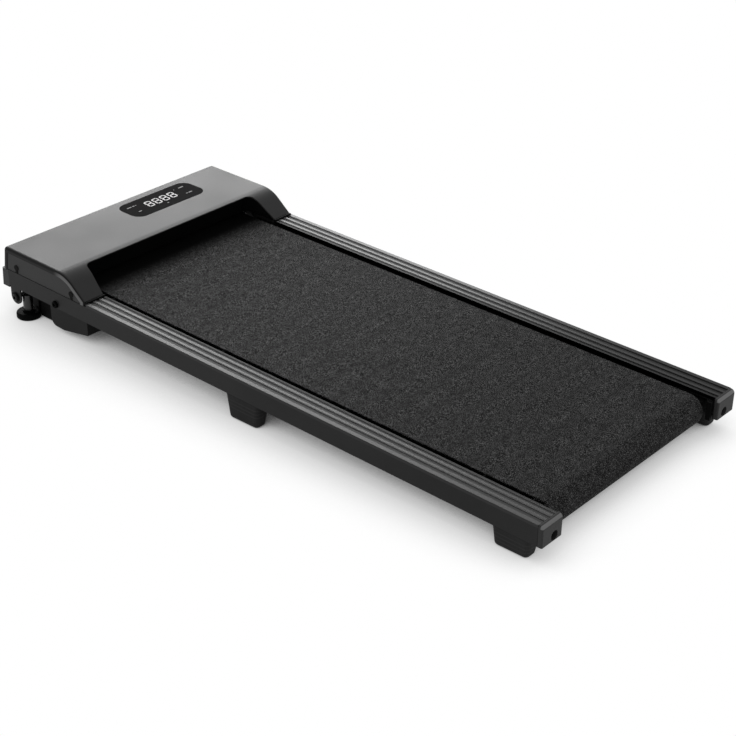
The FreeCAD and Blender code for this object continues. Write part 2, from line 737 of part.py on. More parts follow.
def tension_screw():
    """The right tension screw: its head bears on the tube's plate, its shank passes the rear axle."""
    head_front = TUBE_REAR + TENSION_PLATE_GAP
    centre = (TENSION_X, AXLE_HEIGHT)
    head = rod("y", centre, (head_front - TENSION_HEAD_LENGTH, head_front), TENSION_HEAD_RADIUS)
    key_rear = head_front - TENSION_HEAD_LENGTH
    key = hexagon("y", centre, (key_rear - OVERRUN, key_rear + TENSION_KEY_DEPTH), TENSION_KEY_RADIUS)
    shank = rod("y", centre, (head_front, REAR_AXLE[0] + TENSION_TRAVEL + TENSION_REACH), TENSION_RADIUS)
    return head.cut(key).fuse(shank)


# Drive

def pulley(axle, radius, span):
    """A pulley with one round groove for each rib of the drive belt."""
    wheel = rod("x", axle, span, radius)
    for x in rib_places():
        groove = about(x, DRIVE_RIB_WIDTH + 2 * SLIP)
        depth = DRIVE_RIB_HEIGHT
        wheel = wheel.cut(ring("x", axle, groove, radius + OVERRUN, radius - depth))
    return wheel


def pulley_span():
    """The stretch of X that both pulleys take, just outside the roller's right end."""
    return (ROLLER_END, ROLLER_END + PULLEY_WIDTH)


def rib_places():
    """Middles of the drive belt's ribs along X."""
    middle = ROLLER_END + PULLEY_WIDTH / 2
    first = middle - DRIVE_RIB_PITCH * (DRIVE_RIB_COUNT - 1) / 2
    return [first + DRIVE_RIB_PITCH * index for index in range(DRIVE_RIB_COUNT)]


def roller_pulley():
    """The driven pulley on the front roller's right end, dished to save weight."""
    span = pulley_span()
    wheel = pulley(FRONT_AXLE, ROLLER_PULLEY_RADIUS, span)
    dish_in = CUP_BORE_RADIUS + PULLEY_RIM
    dish_out = ROLLER_PULLEY_RADIUS - PULLEY_RIM
    dish = ring("x", FRONT_AXLE, (span[0] + PULLEY_WEB, span[1] + OVERRUN), dish_out, dish_in)
    bore = rod("x", FRONT_AXLE, (span[0] - OVERRUN, span[1] + OVERRUN), CUP_BORE_RADIUS)
    return wheel.cut([dish, bore])


def motor_pulley():
    """The small pulley on the motor's shaft."""
    span = pulley_span()
    over = (span[0] - OVERRUN, span[1] + OVERRUN)
    bore = rod("x", MOTOR_AXIS, over, MOTOR_SHAFT_RADIUS + RUNNING)
    return pulley(MOTOR_AXIS, MOTOR_PULLEY_RADIUS, span).cut(bore)


def drive_belt():
    """The ribbed belt round both pulleys, its ribs in their grooves."""
    def band(lift, span):
        return loop(FRONT_AXLE, ROLLER_PULLEY_RADIUS + lift, MOTOR_AXIS, MOTOR_PULLEY_RADIUS + lift, span)

    middle = ROLLER_END + PULLEY_WIDTH / 2
    span = about(middle, DRIVE_BELT_WIDTH)
    over = (span[0] - OVERRUN, span[1] + OVERRUN)
    belt = band(SLIP + DRIVE_BELT_THICKNESS, span).cut(band(SLIP, over))
    for x in rib_places():
        rib = about(x, DRIVE_RIB_WIDTH)
        belt = belt.fuse(band(SLIP + DRIVE_BELT_THICKNESS, rib).cut(band(SLIP - DRIVE_RIB_HEIGHT / 2, over)))
    return belt.removeSplitter()


def motor_span():
    """The stretch of X that the motor's housing takes, without its end bells."""
    right = ROLLER_END - MOTOR_PULLEY_GAP - BELL_LENGTH
    return (right - MOTOR_LENGTH, right)


def motor_housing():
    """The motor's round steel housing."""
    return ring("x", MOTOR_AXIS, motor_span(), MOTOR_RADIUS, MOTOR_SHAFT_RADIUS + SLIP)


def motor_end_bells():
    """Two cast end bells with feet that stand on the motor plate."""
    left, right = motor_span()
    bells = []
    for span in ((left - BELL_LENGTH, left), (right, right + BELL_LENGTH)):
        bell = rod("x", MOTOR_AXIS, span, BELL_RADIUS)
        bell = bell.fuse(box(span, about(MOTOR_AXIS[0], MOTOR_FOOT_WIDTH), (PLATE_TOP, MOTOR_HEIGHT)))
        over = (span[0] - OVERRUN, span[1] + OVERRUN)
        bells.append(bell.cut(rod("x", MOTOR_AXIS, over, MOTOR_SHAFT_RADIUS + RUNNING)).removeSplitter())
    return Part.makeCompound(bells)


def flywheel_span():
    """The stretch of X that the flywheel takes at the motor's free end."""
    inner = motor_span()[0] - BELL_LENGTH - FLYWHEEL_GAP
    return (inner - FLYWHEEL_LENGTH, inner)


def motor_shaft():
    """The motor's turning shaft, from flywheel to pulley."""
    return rod("x", MOTOR_AXIS, (flywheel_span()[0], pulley_span()[1]), MOTOR_SHAFT_RADIUS)


def motor_flywheel():
    """The dished flywheel that evens out the motor's speed."""
    span = flywheel_span()
    wheel = ring("x", MOTOR_AXIS, span, FLYWHEEL_RADIUS, MOTOR_SHAFT_RADIUS + RUNNING)
    dish = (span[0] - OVERRUN, span[0] + FLYWHEEL_DISH)
    return wheel.cut(ring("x", MOTOR_AXIS, dish, FLYWHEEL_RADIUS - FLYWHEEL_RIM, BELL_BOSS_RADIUS))


def plate_y():
    """The stretch of Y that the motor plate takes."""
    return (MOTOR_AXIS[0] - PLATE_REAR_REACH, MOTOR_AXIS[0] + PLATE_FRONT_REACH)


def standoff_places():
    """Where the control board stands on the motor plate."""
    places = []
    for x in about(BOARD_OFFSET, BOARD_LENGTH - 2 * STANDOFF_MARGIN):
        for y in about(sum(plate_y()) / 2, BOARD_WIDTH - 2 * STANDOFF_MARGIN):
            places.append((x, y))
    return places


def motor_plate():
    """The plate between the side tubes that carries motor and control board, with its ends turned up."""
    z = (PLATE_TOP - PLATE_WALL, PLATE_TOP)
    plate = box((-TUBE_IN, TUBE_IN), plate_y(), z)
    flange_z = (z[0], z[0] + PLATE_FLANGE_HEIGHT)
    flange = box((TUBE_IN - PLATE_WALL, TUBE_IN), plate_y(), flange_z)
    plate = plate.fuse([flange, mirrored(flange)])
    notch_y = (plate_y()[0] - OVERRUN, plate_y()[0] + PLATE_NOTCH)
    plate = plate.cut(box((ROLLER_END, TUBE_IN - PLATE_WALL), notch_y, (z[0] - OVERRUN, z[1] + OVERRUN)))
    for place in standoff_places():
        plate = plate.fuse(rod("z", place, (PLATE_TOP, PLATE_TOP + STANDOFF_HEIGHT), STANDOFF_RADIUS))
    return plate.removeSplitter()


# Control board

def board_top():
    """Height of the control board's upper face."""
    return PLATE_TOP + STANDOFF_HEIGHT + BOARD_THICKNESS


def capacitor_places():
    """Middles of the capacitors along X: as many as fit between the heatsink and the board's right end."""
    last = BOARD_OFFSET + BOARD_LENGTH / 2 - CAPACITOR_MARGIN
    sink_end = BOARD_OFFSET - BOARD_LENGTH / 2 + SINK_MARGIN + SINK_LENGTH
    room = last - CAPACITOR_RADIUS - CAPACITOR_SINK_GAP - sink_end
    return [last - index * CAPACITOR_PITCH for index in range(1 + int(room / CAPACITOR_PITCH))]


def control_board():
    """The control board with its row of capacitors."""
    x = about(BOARD_OFFSET, BOARD_LENGTH)
    middle_y = sum(plate_y()) / 2
    pieces = [box(x, about(middle_y, BOARD_WIDTH), (board_top() - BOARD_THICKNESS, board_top()))]
    top = board_top() + CAPACITOR_HEIGHT
    for place in capacitor_places():
        can = rod("z", (place, middle_y), (board_top(), top), CAPACITOR_RADIUS)
        pieces.append(rounded(can, CAPACITOR_ROUND, lambda middle, edge: near(middle.z, top)))
    return Part.makeCompound(pieces)


def control_heatsink():
    """The finned block on the control board."""
    left = BOARD_OFFSET - BOARD_LENGTH / 2 + SINK_MARGIN
    x = (left, left + SINK_LENGTH)
    y = about(sum(plate_y()) / 2, SINK_WIDTH)
    sink = box(x, y, (board_top(), board_top() + SINK_BASE))
    step = (SINK_LENGTH - FIN_WALL) / (FIN_COUNT - 1)
    for index in range(FIN_COUNT):
        fin = (left + index * step, left + index * step + FIN_WALL)
        sink = sink.fuse(box(fin, y, (board_top(), board_top() + SINK_HEIGHT)))
    return sink.removeSplitter()


# Hood

def hood_block(inset, base, span):
    """The hood's outline from the side, drawn in by an inset, down to a base height and along a span of X."""
    rear = HOOD_REAR + inset
    top = HOOD_HEIGHT - inset
    nose = HOOD_FRONT_ROUND - inset if inset < HOOD_FRONT_ROUND else 0
    bend = HOOD_BEND_RADIUS - inset
    front_top = HOOD_FRONT + HOOD_REACH + inset * math.tan(WALL_LEAN) - inset / math.cos(WALL_LEAN)
    front_base = front_top + (top - base) * math.tan(WALL_LEAN)
    slope = math.radians(HOOD_SLOPE_DEG)
    foot_z = TUBE_HEIGHT + HOOD_FOOT_HEIGHT
    rear_z = foot_z + inset * math.tan(slope) - inset / math.cos(slope)
    corner_y = rear + (top - rear_z) / math.tan(slope)
    reach = bend * math.tan(slope / 2)
    bend_start = at(corner_y + reach, top)
    bend_end = at(corner_y - reach * math.cos(slope), top - reach * math.sin(slope))
    centre = at(corner_y + reach, top - bend)
    bend_mid = centre + at(-bend * math.sin(slope / 2), bend * math.cos(slope / 2))
    tangent = nose * math.tan((math.pi / 2 - WALL_LEAN) / 2)
    nose_low = at(front_top + tangent * math.sin(WALL_LEAN), top - tangent * math.cos(WALL_LEAN))
    nose_high = at(front_top - tangent, top)
    edges = [line(at(front_base, base), nose_low)]
    if nose > 0:
        reach_out = nose / math.hypot(tangent, nose)
        nose_mid = at(front_top - tangent + tangent * reach_out, top - nose + nose * reach_out)
        edges.append(arc(nose_low, nose_mid, nose_high))
    edges.append(line(nose_high, bend_start))
    edges.append(arc(bend_start, bend_mid, bend_end))
    edges.append(line(bend_end, at(rear, rear_z)))
    edges.append(line(at(rear, rear_z), at(rear, base)))
    edges.append(line(at(rear, base), at(front_base, base)))
    return profile(edges, span)


def on_wall(shape):
    """Lean a piece drawn on an upright front wall onto the hood's leaning one."""
    leaning = shape.copy()
    leaning.rotate(Vector(0, HOOD_FRONT, PANEL_HEIGHT), AXES["x"], math.degrees(WALL_LEAN))
    leaning.translate(AXES["y"] * WALL_SHIFT)
    return leaning


def arch_half_width(y):
    """Half the arch's width, which grows evenly from its front edge to the hood's foot."""
    flare = (ARCH_FOOT_WIDTH - ARCH_TOP_WIDTH) / 2
    return ARCH_TOP_WIDTH / 2 + flare * (ARCH_FRONT - y) / (ARCH_FRONT - HOOD_REAR)


def arch_void(offset):
    """The space under the arch, grown outwards by an offset; its front leans forwards towards the belt."""
    rear = HOOD_REAR - OVERRUN
    wires = []
    for z in (TUBE_HEIGHT - OVERRUN, HOOD_HEIGHT + OVERRUN):
        front = ARCH_FRONT + ARCH_UNDERCUT * (HOOD_HEIGHT - z) / (HOOD_HEIGHT - TUBE_HEIGHT) + offset
        rear_x = arch_half_width(rear) + offset
        front_x = arch_half_width(front) + offset
        corners = [Vector(-rear_x, rear, z), Vector(rear_x, rear, z)]
        corners += [Vector(front_x, front, z), Vector(-front_x, front, z)]
        wires.append(Part.makePolygon(corners + corners[:1]))
    void = Part.makeLoft(wires, True, True)
    upright = lambda middle, edge: middle.y > ARCH_FRONT - OVERRUN and abs(middle.x) > ARCH_TOP_WIDTH / 4
    return rounded(void, ARCH_CORNER + offset, upright)


def lens_outline(inset, span):
    """The display's rounded rectangle, drawn in by an inset, over a span of Z."""
    x = about(LENS_OFFSET, LENS_WIDTH - 2 * inset)
    y = about(LENS_Y, LENS_DEPTH - 2 * inset)
    upright = lambda middle, edge: near(middle.z, sum(span) / 2)
    return rounded(box(x, y, span), LENS_CORNER - inset, upright)


def boss_places():
    """Where the display board hangs under the hood, outside the display's window."""
    places = []
    for x in about(LENS_OFFSET, LENS_WIDTH - 2 * LENS_LEDGE + 2 * BOSS_MARGIN):
        for y in about(LENS_Y, LENS_DEPTH - 2 * LENS_LEDGE + 2 * BOSS_MARGIN):
            places.append((x, y))
    return places


def hood_cover():
    """The moulded hood: top, arch, a band round each side, display seat, bosses and front cut-outs."""
    rim = lambda middle, edge: near(abs(middle.x), HALF_WIDTH) and middle.z > TUBE_HEIGHT + RUNNING
    cover = rounded(hood_block(0, TUBE_HEIGHT, (-HALF_WIDTH, HALF_WIDTH)), HOOD_EDGE_ROUND, rim)
    inside = hood_block(HOOD_WALL, TUBE_HEIGHT - OVERRUN, (-BAND_IN, BAND_IN))
    side = hood_block(HOOD_BAND, TUBE_HEIGHT - OVERRUN, (BAND_IN - OVERRUN, HALF_WIDTH + OVERRUN))
    cover = cover.cut([inside, side, mirrored(side), arch_void(0)])
    for place in boss_places():
        cover = cover.fuse(rod("z", place, (DISPLAY_BOARD_TOP, HOOD_UNDERSIDE), BOSS_RADIUS))
    seat = lens_outline(-SEAT, (HOOD_HEIGHT - LENS_THICKNESS + LENS_PROUD, HOOD_HEIGHT + OVERRUN))
    window = lens_outline(LENS_LEDGE, (HOOD_UNDERSIDE - OVERRUN, HOOD_HEIGHT + OVERRUN))
    wall_y = (HOOD_FRONT - HOOD_WALL - OVERRUN, HOOD_FRONT + OVERRUN)
    inlet_x = about(INLET_OFFSET, INLET_WIDTH + 2 * SEAT)
    inlet = on_wall(box(inlet_x, wall_y, about(PANEL_HEIGHT, INLET_HEIGHT + 2 * SEAT)))
    switch_x = about(SWITCH_OFFSET, SWITCH_WIDTH + 2 * SEAT)
    switch = on_wall(box(switch_x, wall_y, about(PANEL_HEIGHT, SWITCH_HEIGHT + 2 * SEAT)))
    return cover.cut([seat, window, inlet, switch])


def keyhole(y):
    """A screw's pocket in the cheek and the slot that runs from it down to the cheek's lower edge."""
    face = (HALF_WIDTH - KEYHOLE_DEPTH, HALF_WIDTH + OVERRUN)
    through = (CHEEK_IN - OVERRUN, HALF_WIDTH + OVERRUN)
    slot = about(y, 2 * (HOOD_SCREW_RADIUS + SEAT))
    pocket = rod("x", (y, HOOD_SCREW_HEIGHT), face, HOOD_SCREW_HEAD_RADIUS + SLIP)
    hole = rod("x", (y, HOOD_SCREW_HEIGHT), through, HOOD_SCREW_RADIUS + SEAT)
    return pocket.fuse([hole, box(through, slot, (TUBE_HEIGHT - OVERRUN, HOOD_SCREW_HEIGHT))])


def hood_cheek():
    """The right side panel of the hood, sunk in the hood's side band, with a flange behind the band."""
    panel = hood_block(HOOD_BAND + SEAT, TUBE_HEIGHT, (CHEEK_IN, CHEEK_OUT))
    flange = hood_block(HOOD_WALL + SEAT, TUBE_HEIGHT, (CHEEK_IN, BAND_IN - SEAT))
    cheek = panel.fuse(flange)
    for setback in HOOD_SCREW_SETBACKS:
        cheek = cheek.cut(keyhole(HOOD_FRONT - setback))
    return cheek.removeSplitter()


def hood_brackets():
    """Angle brackets on the side tubes that the hood's screws bite into."""
    brackets = []
    for setback in HOOD_SCREW_SETBACKS:
        y = HOOD_FRONT - setback
        wide = about(y, BRACKET_WIDTH)
        upright = box((CHEEK_IN - BRACKET_WALL, CHEEK_IN), wide, (TUBE_HEIGHT, TUBE_HEIGHT + BRACKET_HEIGHT))
        foot = box((CHEEK_IN - BRACKET_FOOT, CHEEK_IN), wide, (TUBE_HEIGHT, TUBE_HEIGHT + BRACKET_WALL))
        way = (CHEEK_IN - BRACKET_WALL - OVERRUN, CHEEK_IN + OVERRUN)
        hole = rod("x", (y, HOOD_SCREW_HEIGHT), way, HOOD_SCREW_RADIUS + RUNNING)
        bracket = upright.fuse(foot).cut(hole).removeSplitter()
        brackets += [bracket, mirrored(bracket)]
    return Part.makeCompound(brackets)


def hood_screws():
    """Screws in the cheeks' keyholes."""
    screws = []
    seat_x = HALF_WIDTH - KEYHOLE_DEPTH
    for setback in HOOD_SCREW_SETBACKS:
        centre = (HOOD_FRONT - setback, HOOD_SCREW_HEIGHT)
        head = rod("x", centre, (seat_x, seat_x + HOOD_SCREW_HEAD_HEIGHT), HOOD_SCREW_HEAD_RADIUS)
        screw = head.fuse(rod("x", centre, (seat_x - HOOD_SCREW_LENGTH, seat_x), HOOD_SCREW_RADIUS))
        screws += [screw, mirrored(screw)]
    return Part.makeCompound(screws)


def toe_guard():
    """The dark wall inside the arch, with a wing along each leg and room for the drive belt on the right."""
    wall = arch_void(GUARD_WALL).cut(arch_void(0))
    guard = wall.common(hood_block(HOOD_WALL + SEAT, BELT_TOP + GUARD_GAP, (-CHEEK_IN, CHEEK_IN)))
    pulley_top = AXLE_HEIGHT + ROLLER_PULLEY_RADIUS + SLIP + DRIVE_BELT_THICKNESS
    drive_way = box((ROLLER_END, TUBE_IN), (HOOD_REAR, HOOD_FRONT), (BELT_TOP, pulley_top + GUARD_BELT_GAP))
    return guard.cut(drive_way)


# Display

def display_lens():
    """The dark lens, let into the hood's top."""
    top = HOOD_HEIGHT + LENS_PROUD
    lens = lens_outline(0, (top - LENS_THICKNESS, top))
    return rounded(lens, LENS_ROUND, lambda middle, edge: near(middle.z, top))


def display_board():
    """The circuit board that hangs on the hood's bosses."""
    margin = 2 * (BOSS_MARGIN + BOSS_RADIUS - LENS_LEDGE)
    x = about(LENS_OFFSET, LENS_WIDTH + margin)
    y = about(LENS_Y, LENS_DEPTH + margin)
    return box(x, y, (DISPLAY_BOARD_TOP - DISPLAY_BOARD_THICKNESS, DISPLAY_BOARD_TOP))


def digit_block():
    """The block of lit digits between board and lens."""
    x = about(LENS_OFFSET + DIGIT_BLOCK_OFFSET, DIGIT_BLOCK_WIDTH)
    top = HOOD_HEIGHT + LENS_PROUD - LENS_THICKNESS - DIGIT_BLOCK_GAP
    return box(x, about(LENS_Y, DIGIT_BLOCK_DEPTH), (DISPLAY_BOARD_TOP, top))


# Belly tray

def tray_block(inset, top):
    """The tray's outer form drawn in by an inset: a full-width rear part and a narrower neck in front."""
    front = HOOD_FRONT - TRAY_FRONT_SETBACK - inset
    bulge = HOOD_FRONT - TRAY_BULGE_SETBACK - inset
    deep = HOOD_FRONT - TRAY_DEEP_SETBACK
    rear = HOOD_FRONT - TRAY_REAR_SETBACK + inset
    outline = [(rear, top), (rear, inset - TRAY_REAR_DEPTH), (deep, inset - TRAY_DEEP_DEPTH)]
    outline += [(front, inset - TRAY_FRONT_DEPTH), (front, top)]
    limit = TRAY_WIDTH / 2 - inset
    block = polygon(outline, (-limit, limit))
    neck = TRAY_NECK_WIDTH / 2 - inset
    depth = (inset - TRAY_DEEP_DEPTH - OVERRUN, top + OVERRUN)
    corner = box((neck, limit + OVERRUN), (bulge, front + OVERRUN), depth)
    block = block.cut([corner, mirrored(corner)])
    chin = lambda middle: near(middle.y, bulge) and middle.z < top - RUNNING
    outside = lambda middle: abs(middle.x) > neck + RUNNING
    across = lambda middle, edge: chin(middle) and outside(middle) and near(edge.Length, limit - neck)
    return rounded(block, TRAY_BULGE_ROUND - inset, across)


def motor_tray():
    """The belly tray, open above, with its end walls cut down for the walking belt and the motor plate."""
    tray = tray_block(0, 0).cut(tray_block(TRAY_WALL, OVERRUN))
    rear = HOOD_FRONT - TRAY_REAR_SETBACK
    front = HOOD_FRONT - TRAY_FRONT_SETBACK
    belt_low = AXLE_HEIGHT - BELT_INNER_RADIUS - BELT_THICKNESS - TRAY_BELT_GAP
    belt_way = box((-TUBE_IN, TUBE_IN), (rear - OVERRUN, rear + TRAY_WALL + OVERRUN), (belt_low, OVERRUN))
    plate_low = PLATE_TOP - PLATE_WALL - TRAY_PLATE_GAP
    plate_way = box((-TUBE_IN, TUBE_IN), (front - TRAY_WALL - OVERRUN, front + OVERRUN), (plate_low, OVERRUN))
    return tray.cut([belt_way, plate_way])


# Wheels, levellers and feet

def wheel_span():
    """The stretch of X that the right transport wheel takes."""
    outer = TUBE_IN - WHEEL_GAP
    return (outer - WHEEL_WIDTH, outer)


def transport_wheel():
    """The right transport wheel, dished on both sides between hub and rim."""
    span = wheel_span()
    wheel = rod("x", WHEEL_AXLE, span, WHEEL_RADIUS)
    ends = lambda middle, edge: near(middle.x, span[0]) or near(middle.x, span[1])
    wheel = rounded(wheel, WHEEL_ROUND, ends)
    for dish in ((span[0] - OVERRUN, span[0] + WHEEL_DISH), (span[1] - WHEEL_DISH, span[1] + OVERRUN)):
        wheel = wheel.cut(ring("x", WHEEL_AXLE, dish, WHEEL_RADIUS - WHEEL_RIM, WHEEL_HUB_RADIUS))
    over = (span[0] - OVERRUN, span[1] + OVERRUN)
    return wheel.cut(rod("x", WHEEL_AXLE, over, WHEEL_BOLT_RADIUS + RUNNING))


def wheel_axles():
    """The wheels' axle bolts, each with a sleeve and a nut that keep the wheel in its place."""
    inner, outer = wheel_span()
    nut_span = (inner - SLIP - WHEEL_NUT_LENGTH, inner - SLIP)
    bolt = rod("x", WHEEL_AXLE, (nut_span[0], HALF_WIDTH), WHEEL_BOLT_RADIUS)
    sleeve = ring("x", WHEEL_AXLE, (outer + SLIP, TUBE_IN), WHEEL_SLEEVE_RADIUS, WHEEL_BOLT_RADIUS)
    end_nut = nut("x", WHEEL_AXLE, nut_span, WHEEL_NUT_RADIUS, WHEEL_BOLT_RADIUS)
    return pair(bolt.fuse([sleeve, end_nut, bolt_head(WHEEL_AXLE)]).removeSplitter())


def leveller_stem():
    """The right leveller's threaded stem."""
    return rod("z", (LEVELLER_X, LEVELLER_Y), (PAD_TOP - STEM_SOCKET, STEM_TOP), STEM_RADIUS)


def leveller_pad():
    """The right leveller's round pad with a collar round its stem."""
    centre = (LEVELLER_X, LEVELLER_Y)
    pad = rod("z", centre, (PAD_BOTTOM, PAD_TOP), PAD_RADIUS)
    pad = rounded(pad, PAD_TOP_ROUND, lambda middle, edge: near(middle.z, PAD_TOP))
    pad = rounded(pad, PAD_BOTTOM_ROUND, lambda middle, edge: near(middle.z, PAD_BOTTOM))
    collar_top = PAD_TOP + PAD_COLLAR_HEIGHT
    pad = pad.fuse(rod("z", centre, (PAD_BOTTOM + PAD_HEIGHT / 2, collar_top), PAD_COLLAR_RADIUS))
    socket = (PAD_TOP - STEM_SOCKET - SLIP, collar_top + OVERRUN)
    return pad.cut(rod("z", centre, socket, STEM_RADIUS + RUNNING)).removeSplitter()


def lock_nuts():
    """The nuts that lock the levellers' stems under the tubes."""
    centre = (LEVELLER_X, LEVELLER_Y)
    return pair(nut("z", centre, (-LOCK_NUT_HEIGHT, 0), LOCK_NUT_RADIUS, STEM_RADIUS + RUNNING))


def foot(middle, top_length, sole_length):
    """A tapered rubber foot under the right tube, cut level with the floor and rounded round its sole."""
    outer = HALF_WIDTH - FOOT_EDGE_INSET
    lowest = floor_height(middle) - OVERRUN
    sections = []
    top = (outer - FOOT_WIDTH, outer)
    sole = (top[0] + FOOT_INNER_TAPER, top[1] - FOOT_OUTER_TAPER)
    for z, length, x in ((0, top_length, top), (lowest, sole_length, sole)):
        y = about(middle, length)
        corners = [Vector(x[0], y[0], z), Vector(x[1], y[0], z), Vector(x[1], y[1], z), Vector(x[0], y[1], z)]
        sections.append(Part.makePolygon(corners + corners[:1]))
    block = Part.makeLoft(sections, True, True)
    block = rounded(block, FOOT_CORNER, lambda spot, edge: near(spot.z, lowest / 2))
    y = about(middle, top_length + 2 * OVERRUN)
    ground = [(y[0], floor_height(y[0])), (y[1], floor_height(y[1]))]
    ground += [(y[1], lowest - OVERRUN), (y[0], lowest - OVERRUN)]
    block = block.cut(polygon(ground, (0, HALF_WIDTH)))
    on_floor = lambda spot, edge: near(spot.z, floor_height(spot.y))
    return rounded(block, FOOT_SOLE_ROUND, on_floor)


def mid_foot():
    """The right middle foot."""
    return foot(MID_FOOT_PLACE, MID_FOOT_TOP_LENGTH, MID_FOOT_SOLE_LENGTH)


def rear_foot():
    """The right rear foot."""
    return foot(REAR_END + REAR_FOOT_SETBACK, REAR_FOOT_TOP_LENGTH, REAR_FOOT_SOLE_LENGTH)


# Mains inlet and power switch

def power_inlet():
    """The three-pin mains inlet: a flange on the hood's front wall, a deep mouth and its pins."""
    z = about(PANEL_HEIGHT, INLET_HEIGHT)
    face = HOOD_FRONT + INLET_FLANGE
    flange_z = about(PANEL_HEIGHT, INLET_FLANGE_HEIGHT)
    flange = box(about(INLET_OFFSET, INLET_FLANGE_WIDTH), (HOOD_FRONT, face), flange_z)
    corners = lambda middle, edge: near(middle.y, HOOD_FRONT + INLET_FLANGE / 2)
    flange = rounded(flange, INLET_CORNER, corners)
    body = box(about(INLET_OFFSET, INLET_WIDTH), (HOOD_FRONT - INLET_DEPTH, HOOD_FRONT), z)
    mouth_rear = face - MOUTH_DEPTH
    mouth_z = about(PANEL_HEIGHT, MOUTH_HEIGHT)
    mouth = box(about(INLET_OFFSET, MOUTH_WIDTH), (mouth_rear, face + OVERRUN), mouth_z)
    inlet = flange.fuse(body).cut(mouth).removeSplitter()
    for step in (-1, 0, 1):
        raise_z = PIN_RAISE if step == 0 else -PIN_RAISE
        pin_x = about(INLET_OFFSET + step * PIN_PITCH, PIN_WIDTH)
        pin = box(pin_x, (mouth_rear, mouth_rear + PIN_LENGTH), about(PANEL_HEIGHT + raise_z, PIN_HEIGHT))
        inlet = inlet.fuse(pin)
    return on_wall(inlet.removeSplitter())


def switch_body():
    """The power switch's frame, hollow in front, with holes for the rocker's pivot."""
    face = HOOD_FRONT + SWITCH_FLANGE
    flange_x = about(SWITCH_OFFSET, SWITCH_WIDTH + 2 * SWITCH_FLANGE_MARGIN)
    flange_z = about(PANEL_HEIGHT, SWITCH_HEIGHT + 2 * SWITCH_FLANGE_MARGIN)
    body = box(flange_x, (HOOD_FRONT, face), flange_z)
    shell_x = about(SWITCH_OFFSET, SWITCH_WIDTH)
    shell_z = about(PANEL_HEIGHT, SWITCH_HEIGHT)
    body = body.fuse(box(shell_x, (HOOD_FRONT - SWITCH_DEPTH, HOOD_FRONT), shell_z))
    hollow_x = about(SWITCH_OFFSET, SWITCH_WIDTH - 2 * SWITCH_WALL)
    hollow_z = about(PANEL_HEIGHT, SWITCH_HEIGHT - 2 * SWITCH_WALL)
    hollow_y = (HOOD_FRONT - SWITCH_DEPTH + SWITCH_WALL, face + OVERRUN)
    pivot = rod("x", (ROCKER_PIVOT_Y, PANEL_HEIGHT), shell_x, ROCKER_PIN_RADIUS + RUNNING)
    return on_wall(body.cut([box(hollow_x, hollow_y, hollow_z), pivot]).removeSplitter())


def switch_rocker():
    """The rocker with its two faces and its pivot pins, tilted to off."""
    span = about(SWITCH_OFFSET, SWITCH_WIDTH - 2 * SWITCH_WALL - 2 * ROCKER_SIDE_GAP)
    y = ROCKER_PIVOT_Y
    z = PANEL_HEIGHT
    outline = [(y + ROCKER_FACE, z + ROCKER_HALF_HEIGHT), (y + ROCKER_VALLEY, z)]
    outline += [(y + ROCKER_FACE, z - ROCKER_HALF_HEIGHT), (y - ROCKER_BACK, z - ROCKER_BACK_HALF_HEIGHT)]
    outline += [(y - ROCKER_BACK, z + ROCKER_BACK_HALF_HEIGHT)]
    pins = rod("x", (y, z), about(SWITCH_OFFSET, SWITCH_WIDTH - SWITCH_WALL), ROCKER_PIN_RADIUS)
    rocker = polygon(outline, span).fuse(pins).removeSplitter()
    rocker.rotate(Vector(SWITCH_OFFSET, y, z), AXES["x"], -ROCKER_TILT_DEG)
    return on_wall(rocker)


def all_pieces():
    """Every node of the machine on the level chassis."""
    pieces = {
        "front_cross_beam": front_cross_beam(),
        "front_bumper": front_bumper(),
        "deck_cross_beams": deck_cross_beams(),
        "deck_board": deck_board(),
        "deck_cushions": deck_cushions(),
        "deck_screws": deck_screws(),
        "walking_belt": walking_belt(),
        "front_roller": roller_tube(FRONT_AXLE),
        "front_roller_cups": roller_cups(FRONT_AXLE),
        "front_bearings": roller_bearings(FRONT_AXLE),
        "front_axle": front_axle(),
        "front_axle_bolts": front_axle_bolts(),
        "rear_roller": roller_tube(REAR_AXLE),
        "rear_roller_cups": roller_cups(REAR_AXLE),
        "rear_bearings": roller_bearings(REAR_AXLE),
        "rear_axle": rear_axle(),
        "roller_pulley": roller_pulley(),
        "motor_pulley": motor_pulley(),
        "drive_belt": drive_belt(),
        "motor_housing": motor_housing(),
        "motor_end_bells": motor_end_bells(),
        "motor_shaft": motor_shaft(),
        "motor_flywheel": motor_flywheel(),
        "motor_plate": motor_plate(),
        "control_board": control_board(),
        "control_heatsink": control_heatsink(),
        "hood_cover": hood_cover(),
        "hood_brackets": hood_brackets(),
        "hood_screws": hood_screws(),
        "toe_guard": toe_guard(),
        "display_lens": display_lens(),
        "display_board": display_board(),
        "digit_block": digit_block(),
        "motor_tray": motor_tray(),
        "wheel_axles": wheel_axles(),
        "lock_nuts": lock_nuts(),
        "power_inlet": power_inlet(),
        "switch_body": switch_body(),
        "switch_rocker": switch_rocker(),
    }
    sided = {
        "side_frame": side_frame(),
        "foot_rail": foot_rail(),
        "end_cap": end_cap(),
        "hood_cheek": hood_cheek(),
        "tension_screw": tension_screw(),
        "transport_wheel": transport_wheel(),
        "leveller_stem": leveller_stem(),
        "leveller_pad": leveller_pad(),
        "mid_foot": mid_foot(),
        "rear_foot": rear_foot(),
    }
    for name, shape in sided.items():
        pieces["right_" + name] = shape
        pieces["left_" + name] = mirrored(shape)
    return pieces


